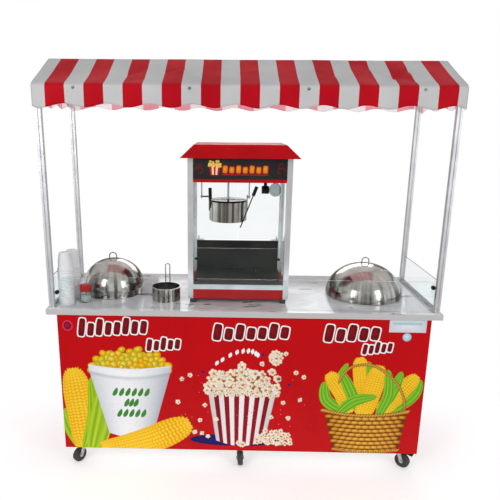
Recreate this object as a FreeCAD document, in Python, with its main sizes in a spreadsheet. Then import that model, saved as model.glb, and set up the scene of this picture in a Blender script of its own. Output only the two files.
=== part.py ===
import FreeCAD, Part

import os
import re

import Sketcher

# A popcorn and corn-cup cart. Millimetres, +Z up, +Y towards the operator's side, -Y towards the customers.
# The origin is on the floor, under the middle of the worktop.

DIMENSIONS = {
    # worktop and cabinet
    "worktop_length": 1880, "worktop_depth": 656, "worktop_thick": 28, "worktop_top": 856,
    "cabinet_length": 1784, "cabinet_front": 318, "cabinet_back": 300, "cabinet_foot": 108, "board": 18,
    "shelf_height": 560, "shelf_back": 282, "housing_depth": 3, "housing_play": 0.1,
    # rear doors of the cabinet and their butt hinges
    "door_gap": 3, "hinge_offset": 5, "hinge_length": 60, "hinge_low": 180, "hinge_high": 690,
    "knuckle_radius": 4.8, "hinge_pin_radius": 2.5, "running_gap": 0.05, "leaf_thick": 2,
    "leaf_width": 48, "leaf_overlap": 36, "door_leaf_width": 38, "leaf_step": 13, "knuckle_gap": 0.25,
    "door_play": 4, "grip_length": 110, "grip_width": 28, "grip_x": 60, "grip_below_top": 330,
    # canopy posts, frame and cover
    "post_side": 25, "post_x": 918, "post_front": 290, "post_rear": 247, "post_top": 1856,
    "groove_width": 5, "groove_depth": 4, "tube": 20, "ridge_bar_top": 2004, "rafter_spacing": 612,
    "canopy_length": 1880, "canopy_front": 314, "canopy_rear": 271, "canopy_ridge_y": -21.5,
    "eave_height": 1881, "ridge_height": 2016, "valance_drop": 103, "canopy_sheet": 3,
    # clear guards round the worktop
    "guard_height": 150, "guard_thick": 4, "channel_width": 14, "channel_height": 16,
    "channel_floor": 3, "channel_slot": 4.2, "guard_knob_radius": 10, "guard_knob_length": 11,
    "guard_knob_x": 889, "guard_knob_left": 932, "guard_knob_right": 980,
    # casters
    "caster_x": 822, "caster_y": 250, "caster_trail": 24, "wheel_radius": 37.5, "wheel_width": 24,
    "hub_width": 27, "hub_radius": 13, "axle_radius": 4, "plate_side": 62, "plate_thick": 4,
    "plate_hole": 3.5, "plate_hole_pitch": 46, "cup_radius": 23, "cup_height": 6, "kingpin_radius": 6,
    "fork_gap": 28, "fork_thick": 3, "fork_leg_width": 20, "fork_head_low": 91, "fork_head_high": 97.5,
    "pedal_pivot_y": -10, "pedal_pivot_z": 84, "pedal_pin_radius": 2.5, "pedal_hub_radius": 6,
    "pedal_width": 22, "pedal_length": 62, "pedal_thick": 4, "bridge_depth": 30, "bridge_thick": 3,
    "bolt_head": 4, "bolt_head_radius": 7, "tread_bevel": 4, "web_inset": 12,
    # popping machine, its shell
    "machine_x": -24, "machine_width": 494, "machine_front": 190, "machine_back": 165,
    "machine_low": 876, "corner_side": 26, "foot_radius": 15, "foot_inset": 12, "deck_height": 943,
    "metal": 2, "rear_panel_top": 1100, "skirt_drop": 17, "slot_count": 11, "slot_pitch": 12,
    "slot_width": 4, "slot_shift": 40, "fascia_low": 1448, "sign_low": 1464, "roof_low": 1562,
    "ceiling_plate": 1466, "roof_length": 560, "roof_depth": 420, "roof_rise": 60,
    "roof_flat_length": 436, "roof_flat_depth": 300, "pane": 4, "front_pane_top": 1130,
    "front_pane_inset": 14, "sign_thick": 3, "drawer_width": 430, "drawer_depth": 312,
    "drawer_height": 46, "drawer_wall": 1.5, "drawer_play": 0.3, "lip_width": 110, "lip_reach": 14,
    "lip_rise": 36,
    # popping machine, operator's doors
    "flap_low": 1108, "flap_high": 1436, "flap_pivot_inset": 9, "flap_y": 152, "flap_pin_radius": 3,
    "flap_boss_radius": 6.5, "flap_boss_height": 16, "flap_gap": 1.5, "flap_hinge_edge": 5,
    "flap_end_play": 2, "flap_knob_radius": 9, "flap_knob_length": 26, "flap_knob_x": 26,
    "bracket_width": 40, "bracket_depth": 14, "bracket_thick": 6, "bracket_inset": 20,
    # kettle and its drive
    "kettle_x": -78, "kettle_y": -15, "kettle_radius": 95, "kettle_rim": 1340, "kettle_depth": 95,
    "kettle_wall": 2, "kettle_floor": 8, "pivot_rise": 20, "trunnion_radius": 4, "arm_left": -211.5,
    "arm_right": 27, "arm_thick": 5, "arm_width": 20, "crossbar_width": 14, "crossbar_thick": 3,
    "lid_radius": 91, "lid_thick": 2, "lid_hinge_y": 8, "lid_hinge_rise": 6, "lid_knuckle": 2.3,
    "lid_pin": 1.2, "stirrer_radius": 4, "stirrer_reach": 85, "stirrer_top": 6, "drive_radius": 5,
    "drive_gap": 2, "motor_width": 90, "motor_height": 66, "motor_socket": 24, "winding_height": 30,
    "arm_flange": 34, "flange_thick": 3, "trunnion_reach": 6, "ear_thick": 5, "ear_width": 20,
    "ear_height": 82, "ear_drop": 70, "rolled_rim": 3, "foot_step": 6, "foot_height": 5,
    "lid_pin_length": 84, "knuckle_length": 74, "pin_post_x": 40, "lid_tab_y": 66, "lid_tab_radius": 4,
    "lid_tab_height": 8, "sweep_width": 8, "sweep_thick": 5, "sweep_rise": 1, "fin_height": 14,
    "fin_thick": 4, "grip_wire": 3, "grip_radius": 8.5,
    # lamp and switches
    "lamp_y": 20, "lamp_z": 1392, "lamp_x": 92, "socket_radius": 20, "socket_length": 36,
    "bulb_radius": 35, "bulb_length": 66, "bulb_wall": 1, "lamp_bracket": 16, "switch_radius": 9,
    "switch_length": 20, "switch_flat": 6, "switch_tilt": 10, "switch_height": 1500,
    "switch_heat_x": 80, "switch_motor_x": 130, "switch_inset": 8, "switch_play": 0.5,
    # pots in the worktop, their lids and heaters
    "corn_pot_x": -673, "corn_pot_y": -20, "corn_pot_radius": 137, "corn_pot_low": 704,
    "corn_pot_rim": 898, "corn_pot_flange": 150, "corn_lid_radius": 155, "corn_lid_height": 135,
    "cob_pot_x": 637, "cob_pot_y": -8, "cob_pot_radius": 178, "cob_pot_low": 684, "cob_pot_rim": 858,
    "cob_pot_flange": 188, "cob_lid_radius": 194, "cob_lid_height": 163, "pot_wall": 1.5,
    "pot_slack": 2, "lid_skirt": 12, "loop_radius": 18, "loop_wire": 3, "loop_leg": 16,
    "heater_gap": 14, "heater_thick": 26, "corn_heater_radius": 108, "cob_heater_radius": 140,
    "heater_leg": 8, "heater_leg_x": 65, "flange_sheet": 2, "lip_width_pot": 4, "skirt_rise": 4,
    "loop_sink": 2.5,
    # saucepan on the worktop
    "pan_x": -384, "pan_y": -140, "pan_radius": 70, "pan_height": 68, "pan_wire": 2.5, "pan_loop": 11,
    "pan_handle_top": 1020, "pan_wall": 1.5, "pan_bottom": 2, "pan_clip_low": 30, "pan_clip_height": 24,
    "pan_clip_thick": 6,
}

doc = FreeCAD.newDocument("popcorn_cart")
cells = doc.addObject("Spreadsheet::Sheet", "dims")
nodes = []


def fill_sheet():
    """Writes each driving dimension beside its name and gives its cell that name as alias."""
    for row, (name, value) in enumerate(DIMENSIONS.items(), start=1):
        cells.set(f"A{row}", name)
        cells.set(f"B{row}", str(value))
        cells.setAlias(f"B{row}", name)
    doc.recompute()


def formula(text):
    """An expression with each driving dimension's name pointed at the sheet."""
    def point(word):
        return f"dims.{word.group()}" if word.group() in DIMENSIONS else word.group()

    return re.sub(r"[a-z_]+", point, str(text))


def bind(thing, **sizes):
    for name, text in sizes.items():
        thing.setExpression(name, formula(text))
    return thing


def place(thing, x=0, y=0, z=0):
    for axis, text in (("x", x), ("y", y), ("z", z)):
        thing.setExpression(f"Placement.Base.{axis}", formula(text))
    return thing


def turn(thing, axis, angle):
    """Turns a piece about its own origin, by an angle that may be a formula."""
    thing.Placement = FreeCAD.Placement(FreeCAD.Vector(), FreeCAD.Rotation(FreeCAD.Vector(*axis), 1))
    thing.setExpression("Placement.Rotation.Angle", formula(angle))
    return thing


def block(length, width, height, x=0, y=0, z=0):
    """A box from its lowest corner."""
    box = bind(doc.addObject("Part::Box", "block"), Length=length, Width=width, Height=height)
    return place(box, x, y, z)


def middle_block(length, width, height, x=0, y=0, z=0):
    """A box whose base is centred on x, y."""
    return block(length, width, height, f"({x}) - ({length}) / 2", f"({y}) - ({width}) / 2", z)


def rod(radius, length, x=0, y=0, z=0, along="Z"):
    """A cylinder from x, y, z towards +X, +Y or +Z."""
    cylinder = bind(doc.addObject("Part::Cylinder", "rod"), Radius=radius, Height=length)
    if along == "X":
        turn(cylinder, (0, 1, 0), 90)
    if along == "Y":
        turn(cylinder, (1, 0, 0), -90)
    return place(cylinder, x, y, z)


def ring(outer, inner, length, x=0, y=0, z=0):
    return cut(rod(outer, length, x, y, z), rod(inner, f"({length}) + 2", x, y, f"({z}) - 1"))


def joined(kind, pieces):
    whole = doc.addObject(kind, kind.split("::")[1].lower())
    setattr(whole, "Links" if kind == "Part::Compound" else "Shapes", list(pieces))
    return whole


def fuse(*pieces):
    return joined("Part::MultiFuse", pieces)


def group(*pieces):
    """Separate solids that share one node."""
    return joined("Part::Compound", pieces)


def cut(base, *tools):
    whole = doc.addObject("Part::Cut", "cut")
    whole.Base = base
    whole.Tool = tools[0] if len(tools) == 1 else group(*tools)
    return whole


def common(first, second):
    whole = doc.addObject("Part::Common", "common")
    whole.Base = first
    whole.Tool = second
    return whole


def node(label, piece):
    """Names a finished sub-part. Its label is its file's name."""
    piece.Label = label
    nodes.append(piece)
    return piece


def body_plane(body, role):
    return next(plane for plane in body.Origin.OriginFeatures if plane.Role == role)


def outline(body, name, role, corners):
    """A closed straight-sided sketch on one of the body's planes, each corner held by two formulas."""
    sketch = body.newObject("Sketcher::SketchObject", name)
    sketch.AttachmentSupport = [(body_plane(body, role), "")]
    sketch.MapMode = "FlatFace"
    count = len(corners)
    turning = [FreeCAD.Rotation(FreeCAD.Vector(0, 0, 1), 360 * n / count) for n in range(count + 1)]
    rough = [r.multVec(FreeCAD.Vector(100, 0, 0)) for r in turning]
    for n in range(count):
        sketch.addGeometry(Part.LineSegment(rough[n], rough[n + 1]), False)
    for n in range(count):
        sketch.addConstraint(Sketcher.Constraint("Coincident", n, 2, (n + 1) % count, 1))
    for n, corner in enumerate(corners):
        for kind, text, at in (("DistanceX", corner[0], rough[n].x), ("DistanceY", corner[1], rough[n].y)):
            index = sketch.addConstraint(Sketcher.Constraint(kind, -1, 1, n, 1, at))
            sketch.setExpression(f"Constraints[{index}]", formula(text))
    return sketch


def circle_in(sketch, x, y, radius):
    """A full circle added to a sketch, its centre and radius held by formulas."""
    circle = sketch.addGeometry(Part.Circle(FreeCAD.Vector(1, 1, 0), FreeCAD.Vector(0, 0, 1), 10), False)
    for kind, text, at in (("DistanceX", x, 1), ("DistanceY", y, 1)):
        index = sketch.addConstraint(Sketcher.Constraint(kind, -1, 1, circle, 3, at))
        sketch.setExpression(f"Constraints[{index}]", formula(text))
    index = sketch.addConstraint(Sketcher.Constraint("Radius", circle, 10))
    sketch.setExpression(f"Constraints[{index}]", formula(radius))


def feature(body, kind, name, sketch, **sizes):
    made = body.newObject(f"PartDesign::{kind}", name)
    made.Profile = sketch
    sketch.Visibility = False
    return bind(made, **sizes)


# Cabinet -------------------------------------------------------------------------------------------

CABINET_TOP = "worktop_top - worktop_thick"
CARCASS_DEPTH = "cabinet_front - board + cabinet_back"


def worktop():
    """One board with a round cut-out for each pot."""
    body = doc.addObject("PartDesign::Body", "worktop_body")
    half_length, half_depth = "worktop_length / 2", "worktop_depth / 2"
    corners = [(f"-{half_length}", f"-{half_depth}"), (half_length, f"-{half_depth}"),
               (half_length, half_depth), (f"-{half_length}", half_depth)]
    sketch = outline(body, "worktop_outline", "XY_Plane", corners)
    circle_in(sketch, "corn_pot_x", "corn_pot_y", "corn_pot_radius + pot_slack")
    circle_in(sketch, "cob_pot_x", "cob_pot_y", "cob_pot_radius + pot_slack")
    feature(body, "Pad", "worktop_board", sketch, Length="worktop_thick")
    place(body, z=CABINET_TOP)
    node("worktop", body)


def cabinet_boards():
    """Front, sides, grooved floor, a middle divider that stands in the groove, and two shelves."""
    height = f"({CABINET_TOP}) - cabinet_foot"
    front = block("cabinet_length", "board", height, "-cabinet_length / 2", "-cabinet_front", "cabinet_foot")
    node("front_panel", front)
    sides = [block("board", CARCASS_DEPTH, height, x, "board - cabinet_front", "cabinet_foot")
             for x in ("-cabinet_length / 2", "cabinet_length / 2 - board")]
    node("side_panels", group(*sides))
    middle_y = "(board - cabinet_front + cabinet_back) / 2"
    housing_low = "cabinet_foot + board - housing_depth"
    floor = middle_block("cabinet_length - 2 * board", CARCASS_DEPTH, "board", 0, middle_y, "cabinet_foot")
    housing = middle_block("board + 2 * housing_play", f"{CARCASS_DEPTH} + 2", "board", 0, middle_y,
                           housing_low)
    node("bottom_board", cut(floor, housing))
    node("centre_divider", middle_block("board", CARCASS_DEPTH, f"{height} - board + housing_depth", 0,
                                        middle_y, housing_low))
    shelf_length = "cabinet_length / 2 - 1.5 * board"
    shelves = [block(shelf_length, "shelf_back + cabinet_front - board", "board", x, "board - cabinet_front",
                     "shelf_height") for x in ("board - cabinet_length / 2", "board / 2")]
    node("shelf_boards", group(*shelves))


HINGE_X = "(cabinet_length / 2 + hinge_offset)"
HINGE_Y = "(cabinet_back + board + hinge_offset)"
THIRD = "(hinge_length / 3)"
KNUCKLE = f"({THIRD} - 2 * knuckle_gap)"


def fixed_hinge(side, low):
    """The cabinet's half of a butt hinge: leaf on the side panel, two knuckles and the pin."""
    plate_x = "cabinet_length / 2" if side > 0 else "-cabinet_length / 2 - leaf_thick"
    leaf = block("leaf_thick", "leaf_width", "hinge_length", plate_x, "cabinet_back - leaf_overlap", low)
    pieces = [leaf, rod("hinge_pin_radius", "hinge_length", f"{side} * {HINGE_X}", HINGE_Y, low)]
    leaf_end = "(leaf_width - leaf_overlap)"
    for shift in ("0", f"2 * {THIRD}"):
        knuckle_low = f"{low} + {shift} + knuckle_gap"
        pieces.append(block("leaf_thick", leaf_end, KNUCKLE, plate_x, f"cabinet_back + {leaf_end}",
                            knuckle_low))
        pieces.append(rod("knuckle_radius", KNUCKLE, f"{side} * {HINGE_X}", HINGE_Y, knuckle_low))
    return fuse(*pieces)


def cabinet_door(side, label):
    """A rear door with a routed finger slot, and its own hinge leaves and middle knuckles."""
    width = "(cabinet_length / 2 - 1.5 * door_gap)"
    low_x = "door_gap / 2" if side > 0 else f"-door_gap / 2 - {width}"
    board = block(width, "board", f"{CABINET_TOP} - cabinet_foot - 2 * door_play", low_x, "cabinet_back",
                  "cabinet_foot + door_play")
    slot_x, slot_low = f"{side} * grip_x", "(worktop_top - grip_below_top)"
    slot = [middle_block("grip_width", "3 * board", "grip_length", slot_x, "cabinet_back + board / 2",
                         slot_low)]
    slot += [rod("grip_width / 2", "3 * board", slot_x, "cabinet_back - board", z, along="Y")
             for z in (slot_low, f"{slot_low} + grip_length")]
    pieces = [cut(board, fuse(*slot))]
    leaf_y = "cabinet_back + board + leaf_thick / 2"
    for low in ("hinge_low", "hinge_high"):
        middle = f"{low} + {THIRD} + knuckle_gap"
        pieces.append(middle_block("door_leaf_width", "leaf_thick", "hinge_length",
                                   f"{side} * ({HINGE_X} - door_leaf_width / 2 - leaf_step)", leaf_y, low))
        tab = middle_block("leaf_step + 1", "leaf_thick", KNUCKLE, f"{side} * ({HINGE_X} - leaf_step / 2)",
                           leaf_y, middle)
        barrel = rod("knuckle_radius", KNUCKLE, f"{side} * {HINGE_X}", HINGE_Y, middle)
        bore = rod("hinge_pin_radius + running_gap", "hinge_length", f"{side} * {HINGE_X}", HINGE_Y, low)
        pieces.append(cut(fuse(tab, barrel), bore))
    node(label, fuse(*pieces))


def cabinet_rear():
    hinges = [fixed_hinge(side, low) for side in (-1, 1) for low in ("hinge_low", "hinge_high")]
    node("cabinet_hinges", group(*hinges))
    cabinet_door(-1, "cabinet_door_left")
    cabinet_door(1, "cabinet_door_right")


# Canopy --------------------------------------------------------------------------------------------

def canopy_posts():
    """Square profile posts with one groove down each face."""
    posts = []
    length = "post_top - worktop_top"
    for x in ("-post_x", "post_x"):
        for y in ("-post_front", "post_rear"):
            bar = middle_block("post_side", "post_side", length, x, y, "worktop_top")
            grooves = []
            for dx, dy in ((1, 0), (-1, 0), (0, 1), (0, -1)):
                wide, deep = "groove_width", "2 * groove_depth"
                grooves.append(middle_block(deep if dx else wide, wide if dx else deep, length,
                                            f"{x} + {dx} * post_side / 2", f"{y} + {dy} * post_side / 2",
                                            "worktop_top"))
            posts.append(cut(bar, *grooves))
    node("canopy_posts", group(*posts))


def canopy_frame():
    """Eave rails round the post tops, a ridge bar and four pairs of rafters."""
    depth = "(post_front + post_rear + post_side)"
    middle_y = "(post_rear - post_front) / 2"
    outer = middle_block("2 * post_x + post_side", depth, "tube", 0, middle_y, "post_top")
    inner = middle_block("2 * post_x + post_side - 2 * tube", f"{depth} - 2 * tube", "tube + 2", 0, middle_y,
                         "post_top - 1")
    ridge = middle_block("2 * post_x + post_side", "tube", "tube", 0, "canopy_ridge_y",
                         "ridge_bar_top - tube")
    pieces = [cut(outer, inner), ridge]
    run = f"({depth} / 2 - tube / 2)"
    rise = "(ridge_bar_top - tube - post_top)"
    for n in range(4):
        x = f"({n} - 1.5) * rafter_spacing - tube / 2"
        for side in (-1, 1):
            rafter = bind(doc.addObject("Part::Box", "rafter"), Length="tube",
                          Width=f"sqrt({run} * {run} + {rise} * {rise})", Height="tube")
            turn(rafter, (1, 0, 0), f"atan({rise} / {run})" if side < 0 else f"180deg - atan({rise} / {run})")
            low_y = f"{middle_y} + {side} * {run}"
            half = "tube / 2"
            angle = f"atan({rise} / {run})"
            shift_y = f"{half} * sin({angle})"
            shift_z = f"-{half} * cos({angle})" if side < 0 else f"{half} * cos({angle})"
            place(rafter, x, f"{low_y} + {shift_y}", f"post_top + {half} + {shift_z}")
            pieces.append(rafter)
    node("canopy_frame", fuse(*pieces))


def canopy_cover():
    """The striped cloth as a plain gabled shell, open below."""
    body = doc.addObject("PartDesign::Body", "cover_body")
    low = "eave_height - valance_drop"

    def gable(inset, base, drop):
        front, rear, eave = f"-canopy_front + {inset}", f"canopy_rear - {inset}", f"eave_height - {drop}"
        return [(front, base), (rear, base), (rear, eave), ("canopy_ridge_y", f"ridge_height - {drop}"),
                (front, eave)]

    outer = outline(body, "cover_outline", "YZ_Plane", gable("0", low, "0"))
    pad = feature(body, "Pad", "cover_outside", outer, Length="canopy_length")
    pad.Midplane = True
    inner = outline(body, "cover_hollow", "YZ_Plane",
                    gable("canopy_sheet", f"{low} - canopy_sheet", "1.1 * canopy_sheet"))
    pocket = feature(body, "Pocket", "cover_inside", inner, Length="canopy_length - 2 * canopy_sheet")
    pocket.Midplane = True
    node("canopy_cover", body)


# Guards --------------------------------------------------------------------------------------------

def guards():
    """Clear panels at the front and both ends, the end ones standing in U channels."""
    length = "2 * post_x - post_side - 2"
    node("front_guard", middle_block(length, "guard_thick", "guard_height", 0, "-post_front", "worktop_top"))
    side_y = "(post_rear - post_front) / 2"
    side_length = "post_front + post_rear - post_side"
    panes, channels, knobs = [], [], []
    for side in (-1, 1):
        x = f"{side} * post_x"
        panes.append(middle_block("guard_thick", f"{side_length} - 2", "guard_height - channel_floor",
                                  x, side_y, "worktop_top + channel_floor"))
        channel = middle_block("channel_width", side_length, "channel_height", x, side_y, "worktop_top")
        slot = middle_block("channel_slot", f"{side_length} + 2", "channel_height", x, side_y,
                            "worktop_top + channel_floor")
        channels.append(cut(channel, slot))
        knobs.append(rod("guard_knob_radius", "guard_knob_length", f"{side} * guard_knob_x",
                         "-post_front - guard_thick / 2 - guard_knob_length",
                         "guard_knob_left" if side < 0 else "guard_knob_right", along="Y"))
    node("side_guards", group(*panes))
    node("guard_channels", group(*channels))
    node("guard_knobs", group(*knobs))


# Casters -------------------------------------------------------------------------------------------

CASTERS = [
    # name, swivel axis in x and y, and the angle that the wheel trails at
    ("front_left", "-caster_x", "-caster_y", -38), ("front_middle", "0", "-caster_y", 4),
    ("front_right", "caster_x", "-caster_y", 52), ("rear_left", "-caster_x", "caster_y", -24),
    ("rear_middle", "0", "caster_y", 30), ("rear_right", "caster_x", "caster_y", 12),
]


def stand(piece, x, y, angle):
    """Puts a caster's piece, made about its own swivel axis, in its place and turns it."""
    turn(piece, (0, 0, 1), angle)
    return place(piece, x, y)


def caster_plates():
    plates = []
    for _, x, y, _ in CASTERS:
        low = "cabinet_foot - plate_thick"
        plate = middle_block("plate_side", "plate_side", "plate_thick", x, y, low)
        cup = rod("cup_radius", "cup_height", x, y, f"{low} - cup_height")
        holes = [rod("plate_hole", 12, f"{x} + {i} * plate_hole_pitch / 2",
                     f"{y} + {j} * plate_hole_pitch / 2", f"{low} - 4") for i in (-1, 1) for j in (-1, 1)]
        bore = rod("kingpin_radius + running_gap", 20, x, y, f"{low} - cup_height - 2")
        plates.append(cut(fuse(plate, cup), bore, *holes))
    node("caster_plates", group(*plates))


def caster_fork(with_pedal):
    """Swivel head with its kingpin, two sloping legs and the axle bolt between them."""
    lean = "atan(caster_trail * 0.8 / (fork_head_low - wheel_radius))"
    leg_length = "sqrt(pow(caster_trail * 0.8; 2) + pow(fork_head_low - wheel_radius; 2))"
    head = rod("cup_radius - 2", "fork_head_high - fork_head_low", 0, 0, "fork_head_low")
    bridge = middle_block("fork_gap + 2 * fork_thick", "bridge_depth", "bridge_thick", 0, "-bolt_head",
                          "fork_head_low")
    kingpin = rod("kingpin_radius", "cabinet_foot - fork_head_low - 1", 0, 0, "fork_head_low")
    bolt_low = "-fork_gap / 2 - fork_thick - bolt_head"
    axle = rod("axle_radius", "fork_gap + 2 * fork_thick + 2 * bolt_head", bolt_low, "-caster_trail",
               "wheel_radius", along="X")
    pieces = [head, bridge, kingpin, axle]
    for x in ("-fork_gap / 2 - fork_thick", "fork_gap / 2"):
        leg = block("fork_thick", "fork_leg_width", leg_length)
        turn(leg, (1, 0, 0), f"-({lean})")
        place(leg, x, f"-caster_trail - fork_leg_width / 2 * cos({lean})",
              f"wheel_radius + fork_leg_width / 2 * sin({lean})")
        foot = rod("fork_leg_width / 2", "fork_thick", x, "-caster_trail", "wheel_radius", along="X")
        pieces += [leg, foot]
    for x in (bolt_low, "fork_gap / 2 + fork_thick"):
        pieces.append(rod("bolt_head_radius", "bolt_head", x, "-caster_trail", "wheel_radius", along="X"))
    if with_pedal:
        pieces.append(rod("pedal_pin_radius", "fork_gap + 2 * fork_thick", "-fork_gap / 2 - fork_thick",
                          "pedal_pivot_y", "pedal_pivot_z", along="X"))
    return fuse(*pieces)


def caster_wheel():
    """Tread, dished web and hub, turned about the axle."""
    body = doc.addObject("PartDesign::Body", "wheel_body")
    bore, web = "axle_radius + running_gap", "wheel_width / 2 - tread_bevel"
    right = [("hub_width / 2", bore), ("hub_width / 2", "hub_radius"), (web, "hub_radius + tread_bevel"),
             (web, "wheel_radius - web_inset"), ("wheel_width / 2", "wheel_radius - web_inset + tread_bevel"),
             ("wheel_width / 2", "wheel_radius - tread_bevel"), (web, "wheel_radius")]
    corners = right + [(f"-({x})", radius) for x, radius in reversed(right)]
    sketch = outline(body, "wheel_section", "XY_Plane", corners)
    turned = feature(body, "Revolution", "wheel_turned", sketch)
    turned.ReferenceAxis = (sketch, ["H_Axis"])
    turned.Angle = 360
    return body


def casters():
    caster_plates()
    for name, x, y, angle in CASTERS:
        node(f"caster_fork_{name}", stand(caster_fork(name == "front_right"), x, y, angle))
        wheel = caster_wheel()
        place(wheel, 0, "-caster_trail", "wheel_radius")
        node(f"caster_wheel_{name}", stand(group(wheel), x, y, angle))


def brake_pedal():
    """A foot pedal over the front right wheel, turning on a pin between the fork's legs."""
    _, x, y, angle = CASTERS[2]
    hub = rod("pedal_hub_radius", "pedal_width", "-pedal_width / 2", "pedal_pivot_y", "pedal_pivot_z",
              along="X")
    arm = middle_block("pedal_width", "pedal_length", "pedal_thick", 0, "pedal_pivot_y - pedal_length / 2",
                       "pedal_pivot_z")
    pad = middle_block("pedal_width - 6", "2 * pedal_thick", 6, 0, "pedal_pivot_y - 4 * pedal_thick",
                       "pedal_pivot_z - 6")
    tread = middle_block("pedal_width + 6", "4 * pedal_thick", 6, 0,
                         "pedal_pivot_y - pedal_length + pedal_thick", "pedal_pivot_z + 1")
    bore = rod("pedal_pin_radius + running_gap", "pedal_width + 2", "-pedal_width / 2 - 1", "pedal_pivot_y",
               "pedal_pivot_z", along="X")
    node("brake_pedal", stand(cut(fuse(hub, arm, pad, tread), bore), x, y, angle))


# Popping machine -----------------------------------------------------------------------------------

INNER_WIDTH = "(machine_width - 2 * corner_side)"
MACHINE_LEFT = "(machine_x - machine_width / 2)"
INNER_LEFT = "(machine_x - machine_width / 2 + corner_side)"
MACHINE_DEPTH = "(machine_front + machine_back)"
MACHINE_Y = "(machine_back - machine_front) / 2"


def machine_stand():
    """Corner posts, feet and the base box that the crumb drawer slides into."""
    posts, feet = [], []
    for x in (MACHINE_LEFT, f"{MACHINE_LEFT} + machine_width - corner_side"):
        for y in ("-machine_front", "machine_back - corner_side"):
            posts.append(block("corner_side", "corner_side", "roof_low - machine_low", x, y, "machine_low"))
            inward = f"({x} < machine_x ? foot_inset : -foot_inset)"
            feet.append(rod("foot_radius", "machine_low - worktop_top", f"{x} + corner_side / 2 + {inward}",
                            f"{y} + corner_side / 2", "worktop_top"))
    node("machine_corner_posts", group(*posts))
    node("machine_feet", group(*feet))
    height = "deck_height - machine_low"
    core = middle_block(INNER_WIDTH, MACHINE_DEPTH, height, "machine_x", MACHINE_Y, "machine_low")
    wings = middle_block("machine_width - 2 * pane", f"{MACHINE_DEPTH} - 2 * corner_side",
                         f"{height} - skirt_drop", "machine_x", MACHINE_Y, "machine_low")
    hollow = middle_block(f"{INNER_WIDTH} - 2 * metal", MACHINE_DEPTH, height, "machine_x",
                          f"{MACHINE_Y} + metal", "machine_low + metal")
    node("machine_base", cut(fuse(core, wings), hollow))


def floor_deck():
    """A bent tray: flat floor with sieve slots and a panel standing up at the operator's side."""
    floor = block(INNER_WIDTH, "machine_front + flap_y - pane", "metal", INNER_LEFT, "pane - machine_front",
                  "deck_height")
    upstand = block(INNER_WIDTH, "metal", "rear_panel_top - deck_height", INNER_LEFT, "flap_y - metal",
                    "deck_height")
    slots = []
    for n in range(DIMENSIONS["slot_count"]):
        x = f"machine_x + slot_shift + ({n} - (slot_count - 1) / 2) * slot_pitch"
        slots.append(middle_block("slot_width", 10, 46, x, "flap_y", "deck_height + 18"))
        slots.append(middle_block("slot_width", 70, 10, x, "flap_y - 60", "deck_height - 4"))
    node("floor_deck", cut(fuse(floor, upstand), *slots))


def crumb_drawer():
    low = "machine_low + metal + drawer_play"
    front_y = "machine_back - metal"
    box = block("drawer_width", "drawer_depth", "drawer_height", "machine_x - drawer_width / 2",
                f"{front_y} - drawer_depth", low)
    hollow = block("drawer_width - 2 * drawer_wall", "drawer_depth - drawer_wall", "drawer_height",
                   "machine_x - drawer_width / 2 + drawer_wall", f"{front_y} - drawer_depth + drawer_wall",
                   f"{low} + drawer_wall")
    face = middle_block(f"{INNER_WIDTH} - 2 * metal - 2", "metal", "deck_height - machine_low - metal - 2",
                        "machine_x", f"{front_y} + metal / 2", low)
    lip = middle_block("lip_width", "lip_reach", "2 * drawer_wall", "machine_x",
                       f"{front_y} + lip_reach / 2", "machine_low + lip_rise")
    node("crumb_drawer", fuse(cut(box, hollow), face, lip))


def machine_ceiling():
    """The upper housing: four walls, and a plate across it that the drive, lamp and kettle hang from."""
    wall_depth = f"{MACHINE_DEPTH} - sign_thick - metal"
    middle_y = f"{MACHINE_Y} + (sign_thick - metal) / 2"
    shell = middle_block(INNER_WIDTH, wall_depth, "roof_low - fascia_low", "machine_x", middle_y,
                         "fascia_low")
    hollows = [middle_block(f"{INNER_WIDTH} - 2 * metal", f"{wall_depth} - 2 * metal", height, "machine_x",
                            middle_y, low)
               for height, low in (("ceiling_plate - fascia_low + 1", "fascia_low - 1"),
                                   ("roof_low - ceiling_plate", "ceiling_plate + metal"))]
    shaft_hole = rod("drive_radius + 2", 10, "kettle_x", "kettle_y", "ceiling_plate - 4")
    windows = [block("switch_length + 2 * switch_play", 20, "2 * switch_radius + 2 * switch_play",
                     f"{x} - switch_length / 2 - switch_play", "machine_back - 12",
                     "switch_height - switch_radius - switch_play")
               for x in ("switch_heat_x", "switch_motor_x")]
    node("machine_ceiling", cut(shell, *hollows, shaft_hole, *windows))
    node("sign_panel", block(INNER_WIDTH, "sign_thick", "roof_low - sign_low", INNER_LEFT, "-machine_front",
                             "sign_low"))


def machine_roof():
    """A hipped sheet-metal roof with a flat top, open in the middle of its underside."""
    def hip(shrink, rise, low):
        wedge = doc.addObject("Part::Wedge", "hip")
        bind(wedge, Xmin=shrink, Xmax=f"roof_length - {shrink}", Zmin=shrink, Zmax=f"roof_depth - {shrink}",
             X2min=f"(roof_length - roof_flat_length) / 2 + {shrink}",
             X2max=f"(roof_length + roof_flat_length) / 2 - {shrink}",
             Z2min=f"(roof_depth - roof_flat_depth) / 2 + {shrink}",
             Z2max=f"(roof_depth + roof_flat_depth) / 2 - {shrink}", Ymin=0, Ymax=rise)
        turn(wedge, (1, 0, 0), 90)
        return place(wedge, "machine_x - roof_length / 2", f"{MACHINE_Y} - 2.5 + roof_depth / 2", low)

    outside = hip("0", "roof_rise", "roof_low")
    inside = hip("metal", "roof_rise - 2 * metal", "roof_low + metal")
    opening = middle_block(f"{INNER_WIDTH} - 6 * metal", f"{MACHINE_DEPTH} - 10 * metal", "10 * metal",
                           "machine_x", MACHINE_Y, "roof_low - 5 * metal")
    node("machine_roof", cut(outside, inside, opening))


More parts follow.
